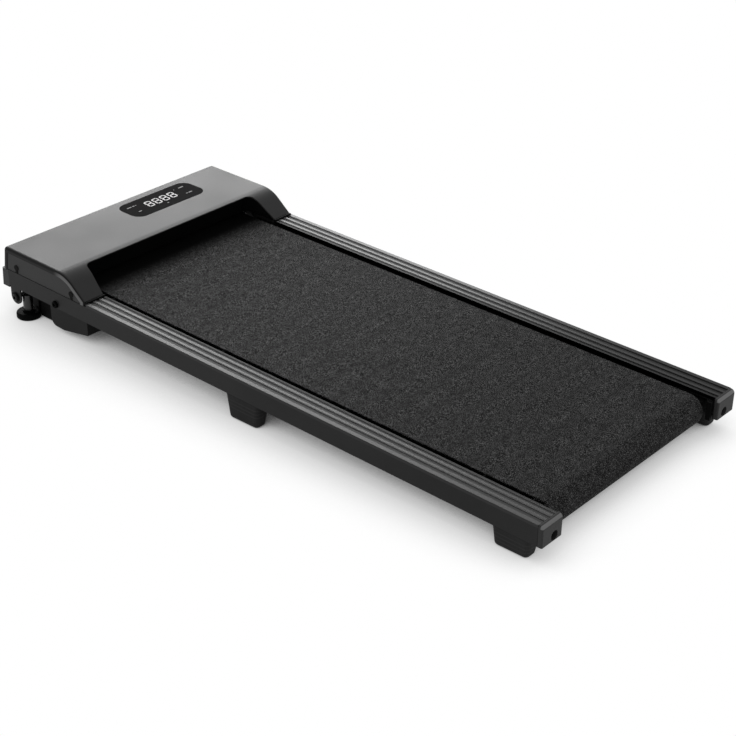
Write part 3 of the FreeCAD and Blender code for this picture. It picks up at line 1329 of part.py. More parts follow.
def standing_place(pieces):
    """The move from the level chassis onto the floor, centred over the middle of the machine."""
    turn = FreeCAD.Rotation(AXES["x"], INCLINE_DEG)
    tilt = FreeCAD.Placement(Vector(0, 0, 0), turn)
    bounds = FreeCAD.BoundBox()
    for name in ("front_bumper", "right_end_cap"):
        bounds.add(pieces[name].transformed(tilt.toMatrix()).optimalBoundingBox(False, False))
    lift = MID_HEIGHT * math.cos(math.radians(INCLINE_DEG))
    return FreeCAD.Placement(Vector(0, -bounds.Center.y, lift), turn)


def main():
    """Build every piece, stand it on the floor and write it out."""
    os.makedirs("parts", exist_ok=True)
    pieces = all_pieces()
    place = standing_place(pieces)
    for name, shape in pieces.items():
        standing = shape.transformed(place.toMatrix(), True)
        standing.exportStep("parts/" + name + ".step")
    return place, pieces


if __name__ == "__main__":
    main()
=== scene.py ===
"""Walking pad: materials, small details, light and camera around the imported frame."""
import json
import math

import bmesh
import bpy
from mathutils import Matrix, Vector


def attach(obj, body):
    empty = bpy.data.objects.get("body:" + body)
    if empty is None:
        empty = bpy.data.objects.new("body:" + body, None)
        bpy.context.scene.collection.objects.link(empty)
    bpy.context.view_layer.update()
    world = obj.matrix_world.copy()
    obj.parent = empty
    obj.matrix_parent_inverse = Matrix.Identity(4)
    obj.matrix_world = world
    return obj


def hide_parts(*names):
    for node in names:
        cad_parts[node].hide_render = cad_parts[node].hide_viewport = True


MM = 0.001
SIDES = (("left", -1), ("right", 1))

# The level chassis in the row frame: a small tilt, then a lift onto the feet.
INCLINE = math.radians(1.25)
CHASSIS_SHIFT = (0.0, -0.970 * MM, 47.789 * MM)
CHASSIS = Matrix.Translation(CHASSIS_SHIFT) @ Matrix.Rotation(INCLINE, 4, "X")
CHASSIS_UP = CHASSIS.to_3x3() @ Vector((0.0, 0.0, 1.0))

# Places on the level chassis, in mm.
LENS_TOP = 76.9
TUBE_TOP = 32.0
HOOD_FOOT = 40.0
HOOD_REAR = 382.0
RAIL_FRONT = 377.0
RAIL_SPAN = (214.0, 257.5)
RAIL_BASE_TOP = 35.5
RAIL_TOP = 37.1


def grey(level):
    """A linear colour from a grey level of 0 to 255 as it shows on screen."""
    value = level / 255.0
    linear = value / 12.92 if value <= 0.04045 else ((value + 0.055) / 1.055) ** 2.4
    return (linear, linear, linear, 1.0)


# Node trees

# The range that most of a noise lies in, and the range of a mask.
NOISE_LOW = 0.3
NOISE_HIGH = 0.7
MASK = (0.0, 1.0)


class Nodes:
    """A node tree under construction."""

    def __init__(self, tree):
        self.tree = tree

    def node(self, kind, **values):
        """A new node with some of its settings."""
        made = self.tree.nodes.new(kind)
        for key, value in values.items():
            setattr(made, key, value)
        return made

    def link(self, source, target):
        """Join two sockets."""
        self.tree.links.new(source, target)

    def arithmetic(self, operation, *values):
        """A number worked out from sockets and plain numbers."""
        made = self.node("ShaderNodeMath", operation=operation)
        for socket, value in zip(made.inputs, values):
            if isinstance(value, float):
                socket.default_value = value
            else:
                self.link(value, socket)
        return made.outputs["Value"]


class Look(Nodes):
    """A material under construction: a principled shader and what feeds it."""

    def __init__(self, name):
        self.material = bpy.data.materials.new(name)
        self.material.use_nodes = True
        super().__init__(self.material.node_tree)
        self.shader = self.tree.nodes["Principled BSDF"]
        self.place = self.node("ShaderNodeTexCoord").outputs["Object"]
        self.tone = None
        self.relief = None

    def noise(self, scale, detail=2.0, roughness=0.5, stretch=(1.0, 1.0, 1.0)):
        """Grain of the given count per metre, drawn out along the axes by a stretch."""
        mapping = self.node("ShaderNodeMapping")
        mapping.inputs["Scale"].default_value = stretch
        self.link(self.place, mapping.inputs["Vector"])
        texture = self.node("ShaderNodeTexNoise")
        texture.inputs["Scale"].default_value = scale
        texture.inputs["Detail"].default_value = detail
        texture.inputs["Roughness"].default_value = roughness
        self.link(mapping.outputs["Vector"], texture.inputs["Vector"])
        return texture.outputs["Fac"]

    def ramp(self, factor, tones, start=NOISE_LOW, end=NOISE_HIGH):
        """A grey that runs between two tones as the factor runs from start to end."""
        made = self.node("ShaderNodeValToRGB")
        for element, place, tone in zip(made.color_ramp.elements, (start, end), tones):
            element.position = place
            element.color = grey(tone)
        self.link(factor, made.inputs["Fac"])
        return made.outputs["Color"]

    def span(self, factor, low, high, start=NOISE_LOW, end=NOISE_HIGH):
        """A number that runs from low to high as the factor runs from start to end."""
        made = self.node("ShaderNodeMapRange")
        made.inputs["From Min"].default_value = start
        made.inputs["From Max"].default_value = end
        made.inputs["To Min"].default_value = low
        made.inputs["To Max"].default_value = high
        self.link(factor, made.inputs["Value"])
        return made.outputs["Result"]

    def step(self, source, start, end):
        """A mask that eases from 0 to 1 as a number runs from start to end."""
        made = self.node("ShaderNodeMapRange", interpolation_type="SMOOTHSTEP")
        made.inputs["From Min"].default_value = start
        made.inputs["From Max"].default_value = end
        self.link(source, made.inputs["Value"])
        return made.outputs["Result"]

    def above(self, start, end):
        """0 below one height of the level chassis and 1 above another, in mm."""
        height = self.node("ShaderNodeVectorMath", operation="DOT_PRODUCT")
        height.inputs[1].default_value = CHASSIS_UP
        self.link(self.place, height.inputs[0])
        base = CHASSIS.translation.dot(CHASSIS_UP)
        return self.step(height.outputs["Value"], base + start * MM, base + end * MM)

    def along(self, axis, start, end, both_sides=False):
        """0 before one place along an axis of the row frame and 1 past another, in mm."""
        split = self.node("ShaderNodeSeparateXYZ")
        self.link(self.place, split.inputs["Vector"])
        source = split.outputs[axis]
        if both_sides:
            source = self.arithmetic("ABSOLUTE", source)
        return self.step(source, start * MM, end * MM)

    def aside(self, start, end):
        """0 up to one distance from the middle plane and 1 past another, in mm."""
        return self.along("X", start, end, both_sides=True)

    def product(self, first, second):
        """Where two masks overlap."""
        return self.arithmetic("MULTIPLY", first, second)

    def plain(self, tone):
        """A grey that feeds a blend."""
        made = self.node("ShaderNodeRGB").outputs["Color"]
        made.default_value = grey(tone)
        return made

    def blend(self, mask, low, high):
        """One colour where the mask is 0 and another where it is 1."""
        made = self.node("ShaderNodeMix", data_type="RGBA")
        self.link(mask, made.inputs["Factor"])
        self.link(low, made.inputs["A"])
        self.link(high, made.inputs["B"])
        return made.outputs["Result"]

    def colour(self, source):
        """Feed the shader's colour."""
        self.tone = source
        self.link(source, self.shader.inputs["Base Color"])

    def cover(self, mask, tone):
        """Lay a plain grey over the colour where the mask is 1."""
        self.colour(self.blend(mask, self.tone, self.plain(tone)))

    def rough(self, factor, low, high, start=NOISE_LOW, end=NOISE_HIGH):
        """Let the roughness run from low to high as the factor runs from start to end."""
        self.link(self.span(factor, low, high, start, end), self.shader.inputs["Roughness"])

    def gloss(self, source):
        """Feed the shader's specular level."""
        self.link(source, self.shader.inputs["Specular IOR Level"])

    def bump(self, factor, strength, depth):
        """Add a relief of some depth in metres on top of what is there."""
        made = self.node("ShaderNodeBump")
        made.inputs["Strength"].default_value = strength
        made.inputs["Distance"].default_value = depth
        self.link(factor, made.inputs["Height"])
        if self.relief is not None:
            self.link(self.relief, made.inputs["Normal"])
        self.relief = made.outputs["Normal"]
        self.link(self.relief, self.shader.inputs["Normal"])

    def set(self, **values):
        """Set the shader's own sockets, which are the same all over."""
        for key, value in values.items():
            self.shader.inputs[key.replace("_", " ")].default_value = value


# Materials by kind

PLASTIC_IOR = 1.25
USUAL_SPECULAR = 0.5


def moulded(name, tones, roughness, ior=PLASTIC_IOR):
    """Spark-eroded plastic: fine grain, slow drift of tone, roughness that varies a little."""
    grain_share = 0.4
    spread = 0.04
    look = Look(name)
    fine = look.noise(scale=1400.0, detail=3.0)
    slow = look.noise(scale=9.0, detail=3.0)
    drift = look.span(slow, low=0.1, high=0.5)
    tone = look.arithmetic("MULTIPLY_ADD", fine, grain_share, drift)
    look.colour(look.ramp(tone, tones, start=0.25, end=0.75))
    look.rough(slow, roughness - spread, roughness + spread)
    look.bump(fine, strength=0.35, depth=0.00012)
    look.set(IOR=ior)
    return look


def painted(name, tones, roughness, ior=PLASTIC_IOR):
    """Powder coat on steel: orange-peel relief and a slow drift of tone."""
    smoother = 0.05
    rougher = 0.07
    look = Look(name)
    peel = look.noise(scale=650.0, detail=2.0)
    slow = look.noise(scale=14.0, detail=3.0)
    look.colour(look.ramp(slow, tones))
    look.rough(peel, roughness - smoother, roughness + rougher)
    look.bump(peel, strength=0.3, depth=0.0001)
    look.set(IOR=ior)
    return look


def steel(name, tones, roughness, stretch):
    """Ground or drawn steel with fine lines along one direction."""
    smoother = 0.06
    rougher = 0.08
    look = Look(name)
    lines = look.noise(scale=900.0, detail=4.0, roughness=0.6, stretch=stretch)
    slow = look.noise(scale=25.0, detail=2.0)
    look.colour(look.ramp(lines, tones))
    look.rough(slow, roughness - smoother, roughness + rougher)
    look.bump(lines, strength=0.2, depth=0.00005)
    look.set(Metallic=1.0)
    return look


def rubber(name, tones):
    """Matt rubber with a dusty bloom."""
    look = Look(name)
    fine = look.noise(scale=1100.0, detail=3.0)
    bloom = look.noise(scale=30.0, detail=4.0, roughness=0.6)
    look.colour(look.ramp(bloom, tones))
    look.rough(fine, low=0.78, high=0.92)
    look.bump(fine, strength=0.4, depth=0.00015)
    look.set(IOR=1.4)
    return look


# Hood

# Painted shade on the rounded side edges, and a painted highlight along the legs' side edges that fades
# out at the bend.
HOOD_EDGE_SHADE = (256.5, 258.5)
HOOD_LEG_HIGHLIGHT = (259.0, 259.8)
HOOD_LEG_HIGHLIGHT_FADE = (462.0, 436.0)


def hood_look():
    """Hood: satin plastic, with painted shade round its side edges and a painted highlight down the side
    edges of its legs.
    """
    look = moulded("hood_plastic", tones=(49, 57), roughness=0.36, ior=1.2)
    # Painted shade: the rounded side edges, turned from the light, made dark.
    look.cover(look.aside(*HOOD_EDGE_SHADE), tone=10)
    # Painted highlight: a pale line down the legs' side edges, where an edge would catch the light.
    painted_highlight = look.product(look.aside(*HOOD_LEG_HIGHLIGHT), look.along("Y", *HOOD_LEG_HIGHLIGHT_FADE))
    look.cover(painted_highlight, tone=112)
    return look


# End caps

CAP_HIGHLIGHT = (-611.6, -612.8)
CAP_HIGHLIGHT_RISE = (31.4, 32.8)
CAP_SEAM_SHADE = (-608.8, -608.2)


def cap_look():
    """End cap: moulded plastic, with a painted highlight round its top rear edge and a painted shadow
    line at its seam.
    """
    look = moulded("cap_plastic", tones=(46, 54), roughness=0.5)
    # Painted highlight on the rounded top rear edge.
    painted_highlight = look.product(look.along("Y", *CAP_HIGHLIGHT), look.above(*CAP_HIGHLIGHT_RISE))
    look.cover(painted_highlight, tone=124)
    # Painted shade: a dark line where the cap meets the tube.
    look.cover(look.along("Y", *CAP_SEAM_SHADE), tone=6)
    return look


# Feet

FOOT_RIB_HIGHLIGHTS = (-11.0, -18.0, -25.0)
FOOT_HIGHLIGHT_HALF = 1.4
FOOT_HIGHLIGHT_CREST = 0.5
FOOT_SEAM_SHADE = (-2.2, -1.2)


def foot_look():
    """Foot: rubber with painted shade at the seam under the tube and three painted highlights round its
    side, where ribs would catch the light.
    """
    look = rubber("foot_rubber", tones=(23, 33))
    # Painted highlights: pale bands for the light on ribs that the shape doesn't have.
    for height in FOOT_RIB_HIGHLIGHTS:
        rise = look.above(height - FOOT_HIGHLIGHT_HALF, height - FOOT_HIGHLIGHT_CREST)
        fall = look.above(height + FOOT_HIGHLIGHT_HALF, height + FOOT_HIGHLIGHT_CREST)
        look.cover(look.product(rise, fall), tone=42)
    # Painted shade: a dark line at the top of the foot, under the tube.
    look.cover(look.above(*FOOT_SEAM_SHADE), tone=3)
    return look


# Walking belt

BELT_LIGHT_FALLOFF = (-520.0, 120.0)
BELT_SHADE = (368.0, 424.0)
BELT_SPECK_EDGE = (0.52, 0.64)


def belt_look():
    """Walking belt: a coated weave with a fine mottle of specks, painted darker towards the rear for the
    light's falloff, and with painted black shade under the hood.
    """
    speck_share = 0.9
    look = Look("belt_surface")
    specks = look.noise(scale=1000.0, detail=1.0)
    patches = look.noise(scale=120.0, detail=2.0, roughness=0.6)
    drift = look.span(patches, low=0.02, high=0.08)
    mottle = look.arithmetic("MULTIPLY_ADD", specks, speck_share, drift)
    # Painted shade: the tones run darker towards the rear, where the light falls off.
    rear_shade = look.ramp(mottle, (17, 113), *BELT_SPECK_EDGE)
    front_light = look.ramp(mottle, (21, 129), *BELT_SPECK_EDGE)
    look.colour(look.blend(look.along("Y", *BELT_LIGHT_FALLOFF), rear_shade, front_light))
    # Painted shade under the hood.
    look.cover(look.along("Y", *BELT_SHADE), tone=3)
    look.rough(specks, low=0.72, high=0.9)
    look.bump(specks, strength=0.5, depth=0.0003)
    look.set(IOR=1.1)
    return look


# Foot rails

RAIL_RIB_TOP = (RAIL_TOP - 0.5, RAIL_TOP - 0.15)
RAIL_FLANK_LIGHT = (RAIL_BASE_TOP + 0.05, RAIL_BASE_TOP + 0.3)
RAIL_OUTER_EDGE = (257.0, 256.0)
RAIL_MATT_RIB = (218.3, 219.3)
RAIL_GAP_SHADE = (214.4, 215.4)
RAIL_RIGHT_SIDE = (0.0, 10.0)
RAIL_SHADE = (150.0, -560.0)


def rail_look():
    """Foot rail: polished ribs with painted light on their flanks over grained grooves, a matt rib
    beside the belt, painted shade in the gap beside the belt, and painted shade towards the right rail's
    rear.
    """
    look = Look("rail_plastic")
    tops = look.above(*RAIL_RIB_TOP)
    # Painted light: the rib walls that face away from the light are made pale.
    flank_light_mask = look.product(look.above(*RAIL_FLANK_LIGHT), look.aside(*RAIL_OUTER_EDGE))
    outward = look.aside(*RAIL_MATT_RIB)
    shaded = look.product(look.along("X", *RAIL_RIGHT_SIDE), look.along("Y", *RAIL_SHADE))
    # Painted shade: black with no gloss along the rail's inner edge, for the gap beside the belt.
    clear = look.aside(*RAIL_GAP_SHADE)
    fine = look.noise(scale=1200.0, detail=3.0)
    groove = look.ramp(fine, (27, 35))
    flank_light = look.ramp(fine, (140, 156))
    matt = look.ramp(fine, (30, 40))
    polished = look.ramp(fine, (46, 54))
    dim = look.ramp(fine, (13, 20))
    sides = look.blend(flank_light_mask, groove, flank_light)
    tone = look.blend(tops, sides, look.blend(outward, matt, polished))
    look.colour(look.blend(clear, look.plain(3), look.blend(shaded, tone, dim)))
    gap_shade_gloss = look.span(clear, 0.0, USUAL_SPECULAR, *MASK)
    shaded_gloss = look.span(shaded, 1.0, 0.55, *MASK)
    look.gloss(look.product(gap_shade_gloss, shaded_gloss))
    look.rough(look.product(tops, outward), 0.62, 0.38, *MASK)
    look.bump(fine, strength=0.3, depth=0.0001)
    look.set(IOR=1.4)
    return look


# Deck

DECK_GAP_SHADE = (201.6, 202.4)


def deck_look():
    """Deck board: dark laminate with a slow grain along the walking way, with painted black shade in the
    gap beside the belt.
    """
    look = Look("deck_wood")
    grain = look.noise(scale=60.0, detail=5.0, roughness=0.65, stretch=(8.0, 0.6, 8.0))
    edge = look.aside(*DECK_GAP_SHADE)
    look.colour(look.ramp(grain, (5, 14)))
    # Painted shade: black with no gloss beside the belt, for the gap there.
    look.cover(edge, tone=2)
    look.gloss(look.span(edge, USUAL_SPECULAR, 0.0, *MASK))
    look.rough(grain, low=0.5, high=0.7)
    look.bump(grain, strength=0.3, depth=0.0002)
    return look


# Display and board

BOARD_MASK = (0.012, 0.075, 0.03, 1.0)
BOARD_MASK_PALE = (0.016, 0.1, 0.04, 1.0)
BOARD_RUNS = (0.04, 0.16, 0.07, 1.0)
BOARD_RUNS_PER_METRE = 160.0
LIT_BODY_DIP = 20
LIT_GLOW_DIP = 12


def lens_look():
    """Smoked display window with a faint wiped haze."""
    look = Look("display_gloss")
    haze = look.noise(scale=40.0, detail=4.0, roughness=0.6, stretch=(1.0, 3.0, 1.0))
    look.colour(look.ramp(haze, (26, 31)))
    look.rough(haze, low=0.3, high=0.42)
    look.set(IOR=1.3, Specular_IOR_Level=0.004)
    return look


def lit_look(name, tone, strength):
    """Segments seen through the window, unevenly lit."""
    look = Look(name)
    glow = look.noise(scale=260.0, detail=1.0)
    look.colour(look.ramp(glow, (tone - LIT_BODY_DIP, tone)))
    shine = look.ramp(glow, (tone - LIT_GLOW_DIP, tone))
    look.link(shine, look.shader.inputs["Emission Color"])
    look.set(Emission_Strength=strength, Roughness=0.6)
    return look


def board_look():
    """Circuit board: green mask with paler runs showing through."""
    look = Look("board_green")
    runs = look.node("ShaderNodeTexBrick")
    runs.inputs["Scale"].default_value = BOARD_RUNS_PER_METRE
    runs.inputs["Color1"].default_value = BOARD_MASK
    runs.inputs["Color2"].default_value = BOARD_MASK_PALE
    runs.inputs["Mortar"].default_value = BOARD_RUNS
    look.link(look.place, runs.inputs["Vector"])
    look.colour(runs.outputs["Color"])
    look.rough(look.noise(scale=80.0), low=0.3, high=0.45)
    return look


# Slots of the record

# Tones, roughness and, where it isn't the usual one, the index of refraction.
MOULDED_SLOTS = {
    "bumper_plastic": ((46, 54), 0.45),
    "cheek_plastic": ((49, 57), 0.5),
    "guard_plastic": ((3, 6), 0.6, 1.15),
    "tray_plastic": ((20, 26), 0.6),
    "pad_plastic": ((6, 10), 0.6, 1.1),
    "cup_plastic": ((40, 50), 0.5),
    "inlet_plastic": ((16, 22), 0.3),
}
PAINTED_SLOTS = {
    "frame_paint": ((30, 36), 0.5),
    "dark_steel": ((6, 11), 0.4),
    "motor_steel": ((24, 34), 0.45),
}
# Tones, roughness and the stretch of the lines.
STEEL_SLOTS = {
    "bright_steel": ((170, 205), 0.3, (1.0, 40.0, 40.0)),
    "pulley_metal": ((165, 200), 0.4, (30.0, 1.0, 1.0)),
}
# Tones alone.
RUBBER_SLOTS = {
    "wheel_rubber": ((24, 34),),
    "drive_rubber": ((18, 26),),
}
# Nodes that show black in place of their slot's finish, as painted shade for the screws and brackets
# down the keyholes and for the bolt heads in their recesses.
SHADE_BLACK_NODES = ("hood_screws", "hood_brackets", "front_axle_bolts", "deck_screws")


def all_looks():
    """One finished material for each slot of the record."""
    made = {
        "hood_plastic": hood_look(),
        "cap_plastic": cap_look(),
        "rail_plastic": rail_look(),
        "belt_surface": belt_look(),
        "foot_rubber": foot_look(),
        "deck_wood": deck_look(),
        "display_gloss": lens_look(),
        "digit_white": lit_look("digit_white", tone=190, strength=0.6),
        "board_green": board_look(),
    }
    kinds = (
        (moulded, MOULDED_SLOTS), (painted, PAINTED_SLOTS),
        (steel, STEEL_SLOTS), (rubber, RUBBER_SLOTS),
    )
    for kind, slots in kinds:
        for slot, finish in slots.items():
            made[slot] = kind(slot, *finish)
    return {slot: look.material for slot, look in made.items()}


def dress(frame, looks):
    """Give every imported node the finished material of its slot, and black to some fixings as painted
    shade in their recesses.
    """
    slots = {part["node"]: part["material_slot"] for part in frame["record"]["subparts"]}
    black = painted("shade_black_steel", tones=(3, 6), roughness=0.6, ior=1.1).material
    for name, node in frame["nodes"].items():
        node.data.materials.clear()
        node.data.materials.append(black if name in SHADE_BLACK_NODES else looks[slots[name]])


# Small pieces

def mesh_object(name, build, body, look):
    """A mesh piece from a build function, placed by the chassis, riding on a body."""
    work = bmesh.new()
    build(work)
    bmesh.ops.recalc_face_normals(work, faces=work.faces)
    work.transform(CHASSIS @ Matrix.Scale(MM, 4))
    mesh = bpy.data.meshes.new(name)
    work.to_mesh(mesh)
    work.free()
    mesh.materials.append(look)
    piece = bpy.data.objects.new(name, mesh)
    bpy.context.scene.collection.objects.link(piece)
    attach(piece, body)
    return piece


def arc(centre, radius, start, sweep, steps):
    """Points along an arc, with both of its ends."""
    turns = [start + sweep * step / steps for step in range(steps + 1)]
    return [(centre[0] + radius * math.cos(turn), centre[1] + radius * math.sin(turn)) for turn in turns]


def circle(centre, radius, sides):
    """Points round a circle."""
    return arc(centre, radius, 0.0, 2 * math.pi, sides)[:-1]


def rectangle(left, right, rear, front):
    """Corners of a rectangle."""
    return [(left, rear), (right, rear), (right, front), (left, front)]


def mirrored(outline, sign):
    """An outline in x and y on the side that the sign gives."""
    return [(sign * x, y) for x, y in outline]


def add_slab(work, first, last):
    """A closed slab between two rings of points."""
    near, far = [[work.verts.new(point) for point in ring] for ring in (first, last)]
    work.faces.new(near)
    work.faces.new(far)
    for index in range(len(near)):
        after = (index + 1) % len(near)
        work.faces.new((near[index], near[after], far[after], far[index]))


def add_prism(work, outline, low, high):
    """A flat plate with an outline in x and y between two heights."""
    add_slab(work, *[[(x, y, z) for x, y in outline] for z in (low, high)])


def add_plate(work, outline, inner, outer):
    """A flat plate with an outline in y and z between two places across."""
    add_slab(work, *[[(x, y, z) for y, z in outline] for x in (inner, outer)])


# Display

DIGIT_COUNT = 4
DIGIT_LEFT = 38.2
DIGIT_PITCH = 19.4
DIGIT_WIDTH = 14.2
DIGIT_MIDDLE = 549.4
DIGIT_HEIGHT = 24.0
DIGIT_SLANT = 0.05
SEGMENT = 2.5
SEGMENT_GAP = 0.45
GLYPH_SPAN = (LENS_TOP - 0.3, LENS_TOP + 0.12)
MARK_STEPS = 8
# Left end, right end, middle along the walking way and thickness of each mark.
MARKS = (
    (0.5, 12.0, 563.0, 2.4), (14.0, 19.5, 563.0, 2.4), (21.4, 23.8, 563.0, 2.0),
    (7.4, 14.6, 536.5, 2.4),
    (133.0, 146.0, 564.0, 2.6), (120.2, 122.6, 564.0, 2.0),
    (127.0, 131.5, 534.5, 2.2), (133.4, 143.0, 534.5, 2.4), (72.4, 76.4, 527.5, 2.6),
)


def segment_outline(start, end):
    """Outline of one segment between two points, as a long hexagon."""
    half = SEGMENT / 2
    along = (end - start).normalized()
    aside = Vector((-along.y, along.x)) * half
    start = start + along * SEGMENT_GAP
    end = end - along * SEGMENT_GAP
    return [
        start, start + along * half - aside, end - along * half - aside,
        end, end - along * half + aside, start + along * half + aside,
    ]


def digit_outlines():
    """Outlines of all seven segments about a digit's middle."""
    x = (DIGIT_WIDTH - SEGMENT) / 2
    y = (DIGIT_HEIGHT - SEGMENT) / 2
    level = [((-x, height), (x, height)) for height in (-y, 0.0, y)]
    upright = [((side, low), (side, low + y)) for side in (-x, x) for low in (-y, 0.0)]
    return [segment_outline(Vector(start), Vector(end)) for start, end in level + upright]


def add_digits(work):
    """Four seven-segment digits on the display window, all lit."""
    for index in range(DIGIT_COUNT):
        middle = DIGIT_LEFT + DIGIT_WIDTH / 2 + index * DIGIT_PITCH
        for outline in digit_outlines():
            slanted = [(middle + p.x + DIGIT_SLANT * p.y, DIGIT_MIDDLE + p.y) for p in outline]
            add_prism(work, slanted, *GLYPH_SPAN)


def add_marks(work):
    """Unlit dashes and dots round the digits, where a display has its captions."""
    for left, right, middle, thickness in MARKS:
        radius = thickness / 2
        outline = arc((right - radius, middle), radius, -math.pi / 2, math.pi, MARK_STEPS)
        outline += arc((left + radius, middle), radius, math.pi / 2, math.pi, MARK_STEPS)
        add_prism(work, outline, *GLYPH_SPAN)


def add_display(looks):
    """Lit digits and grey marks on the display window."""
    grey_marks = lit_look("mark_grey", tone=150, strength=0.0).material
    mesh_object("display_digits", add_digits, "chassis", looks["digit_white"])
    mesh_object("display_marks", add_marks, "chassis", grey_marks)


# Levellers

STEM_PLACE = (244.0, 568.0)
STEM_SPAN = (-56.2, 20.0)
STEM_RADIUS = 6.0
STEM_PITCH = 1.75
STEM_DEPTH = 0.95
STEM_ROOT = STEM_RADIUS - STEM_DEPTH
STEM_SIDES = 28
# Share of the pitch and radius along one ridge of the thread.
STEM_RIDGE = (
    (0.0, STEM_ROOT), (0.12, STEM_ROOT),
    (0.44, STEM_RADIUS), (0.56, STEM_RADIUS), (0.88, STEM_ROOT),
)
SLEEVE_SPAN = (-45.0, -14.5)
SLEEVE_RADIUS = 9.2
SLEEVE_SIDES = 48


def thread_row(work, centre, step):
    """Points across the thread's ridge, some steps up its helix."""
    low, high = STEM_SPAN
    turn = 2 * math.pi * step / STEM_SIDES
    base = low + STEM_PITCH * step / STEM_SIDES
    row = []
    for share, reach in STEM_RIDGE:
        x = centre[0] + reach * math.cos(turn)
        y = centre[1] + reach * math.sin(turn)
        z = base + (share - 0.5) * STEM_PITCH
        row.append(work.verts.new((x, y, min(max(z, low), high))))
    return row


def add_thread(work, centre):
    """A threaded rod: a ridge that climbs one pitch a turn, closed at both ends."""
    low, high = STEM_SPAN
    steps = int((high - low) / STEM_PITCH * STEM_SIDES)
    rows = [thread_row(work, centre, step) for step in range(steps + 1)]
    for lower, upper in zip(rows, rows[1:]):
        for index in range(len(lower) - 1):
            work.faces.new((lower[index], upper[index], upper[index + 1], lower[index + 1]))
    next_turn = rows[STEM_SIDES:]
    for lower, upper, above, over in zip(rows, rows[1:], next_turn, next_turn[1:]):
        work.faces.new((lower[-1], upper[-1], over[0], above[0]))
    for z in STEM_SPAN:
        ring = circle(centre, STEM_ROOT, STEM_SIDES)
        work.faces.new([work.verts.new((x, y, z)) for x, y in ring])


def add_levellers(looks):
    """Threaded stems in place of the plain rods, each with a sleeve above its pad."""
    sleeve_look = painted("sleeve_steel", tones=(20, 26), roughness=0.22, ior=1.5).material
    for side, sign in SIDES:
        centre = (sign * STEM_PLACE[0], STEM_PLACE[1])
        body = side + "_leveller_stem"

        def build_stem(work):
            add_thread(work, centre)

        def build_sleeve(work):
            add_prism(work, circle(centre, SLEEVE_RADIUS, SLEEVE_SIDES), *SLEEVE_SPAN)

        stem = mesh_object(side + "_threaded_stem", build_stem, body, looks["dark_steel"])
        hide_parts(body)
        mesh_object(side + "_stem_sleeve", build_sleeve, body, sleeve_look)


# Hood seals, black also for the shade in their gap

SEAL_ROUND = 1.2
SEAL_ROUND_STEPS = 3


def add_seal_shade(work, sign):
    """Black foam between a leg of the hood and the rail's front end, which also stands in for the shade
    in the gap there.
    """
    left, right = sorted(sign * x for x in RAIL_SPAN)
    add_prism(work, rectangle(left, right, RAIL_FRONT, HOOD_REAR), TUBE_TOP, HOOD_FOOT)
    lip = [edge for edge in work.edges if all(v.co.z > TUBE_TOP for v in edge.verts)]
    bmesh.ops.bevel(
        work, geom=lip, offset=SEAL_ROUND, segments=SEAL_ROUND_STEPS, affect="EDGES", profile=0.5)


# Black plates for the shade under the chassis

UNDER_SHADE_OUTER = 232.4
UNDER_SHADE_INNER = 218.0
UNDER_SHADE_SHEET = 2.0
UNDER_SHADE_REAR = 490.0
UNDER_SHADE_STEP = 546.0
UNDER_SHADE_FRONT = 571.0
UNDER_SHADE_TOE_FRONT = 590.0
UNDER_SHADE_SPAN = (-55.0, -1.0)
UNDER_SHADE_TOE_SPAN = (-55.0, -27.5)


def add_under_shade(work, sign):
    """A thin black plate along the tray's neck, stepped inwards past the leveller's pad, with a low toe,
    standing in for the deep shade under the chassis.
    """
    outer_back = UNDER_SHADE_OUTER - UNDER_SHADE_SHEET
    inner_back = UNDER_SHADE_INNER - UNDER_SHADE_SHEET
    step_back = UNDER_SHADE_STEP - UNDER_SHADE_SHEET
    way = (
        (UNDER_SHADE_OUTER, UNDER_SHADE_REAR), (UNDER_SHADE_OUTER, UNDER_SHADE_STEP),
        (UNDER_SHADE_INNER, UNDER_SHADE_STEP), (UNDER_SHADE_INNER, UNDER_SHADE_FRONT),
        (inner_back, UNDER_SHADE_FRONT), (inner_back, step_back),
        (outer_back, step_back), (outer_back, UNDER_SHADE_REAR),
    )
    toe = rectangle(inner_back, UNDER_SHADE_INNER, UNDER_SHADE_STEP, UNDER_SHADE_TOE_FRONT)
    add_prism(work, mirrored(way, sign), *UNDER_SHADE_SPAN)
    add_prism(work, mirrored(toe, sign), *UNDER_SHADE_TOE_SPAN)


# Black strips for the shade in the slits

SLIT_SHADE_INNER = 204.6
SLIT_SHADE_DECK_SIDE = 212.0
SLIT_SHADE_OUTER = 219.2
SLIT_SHADE_REAR = -588.0
SLIT_SHADE_DECK_REAR = -529.0
SLIT_SHADE_FRONT = 374.0
SLIT_SHADE_SPAN = (24.0, 25.6)
FIN_OUTER = 211.2
FIN_REAR = -605.0
FIN_FRONT = -596.5
FIN_SPAN = (-2.0, 31.0)


def add_slit_shade(work, sign):
    """A black strip that stands in for the shade down the slit beside the deck, and a black fin for the
    shade between the roller and the end cap.
    """
    way = (
        (SLIT_SHADE_INNER, SLIT_SHADE_REAR), (SLIT_SHADE_OUTER, SLIT_SHADE_REAR),
        (SLIT_SHADE_OUTER, SLIT_SHADE_FRONT), (SLIT_SHADE_DECK_SIDE, SLIT_SHADE_FRONT),
        (SLIT_SHADE_DECK_SIDE, SLIT_SHADE_DECK_REAR), (SLIT_SHADE_INNER, SLIT_SHADE_DECK_REAR),
    )
    fin = rectangle(SLIT_SHADE_INNER, FIN_OUTER, FIN_REAR, FIN_FRONT)
    add_prism(work, mirrored(way, sign), *SLIT_SHADE_SPAN)
    add_prism(work, mirrored(fin, sign), *FIN_SPAN)


# Black sheets for the shade in the keyholes and round the wheel bolt

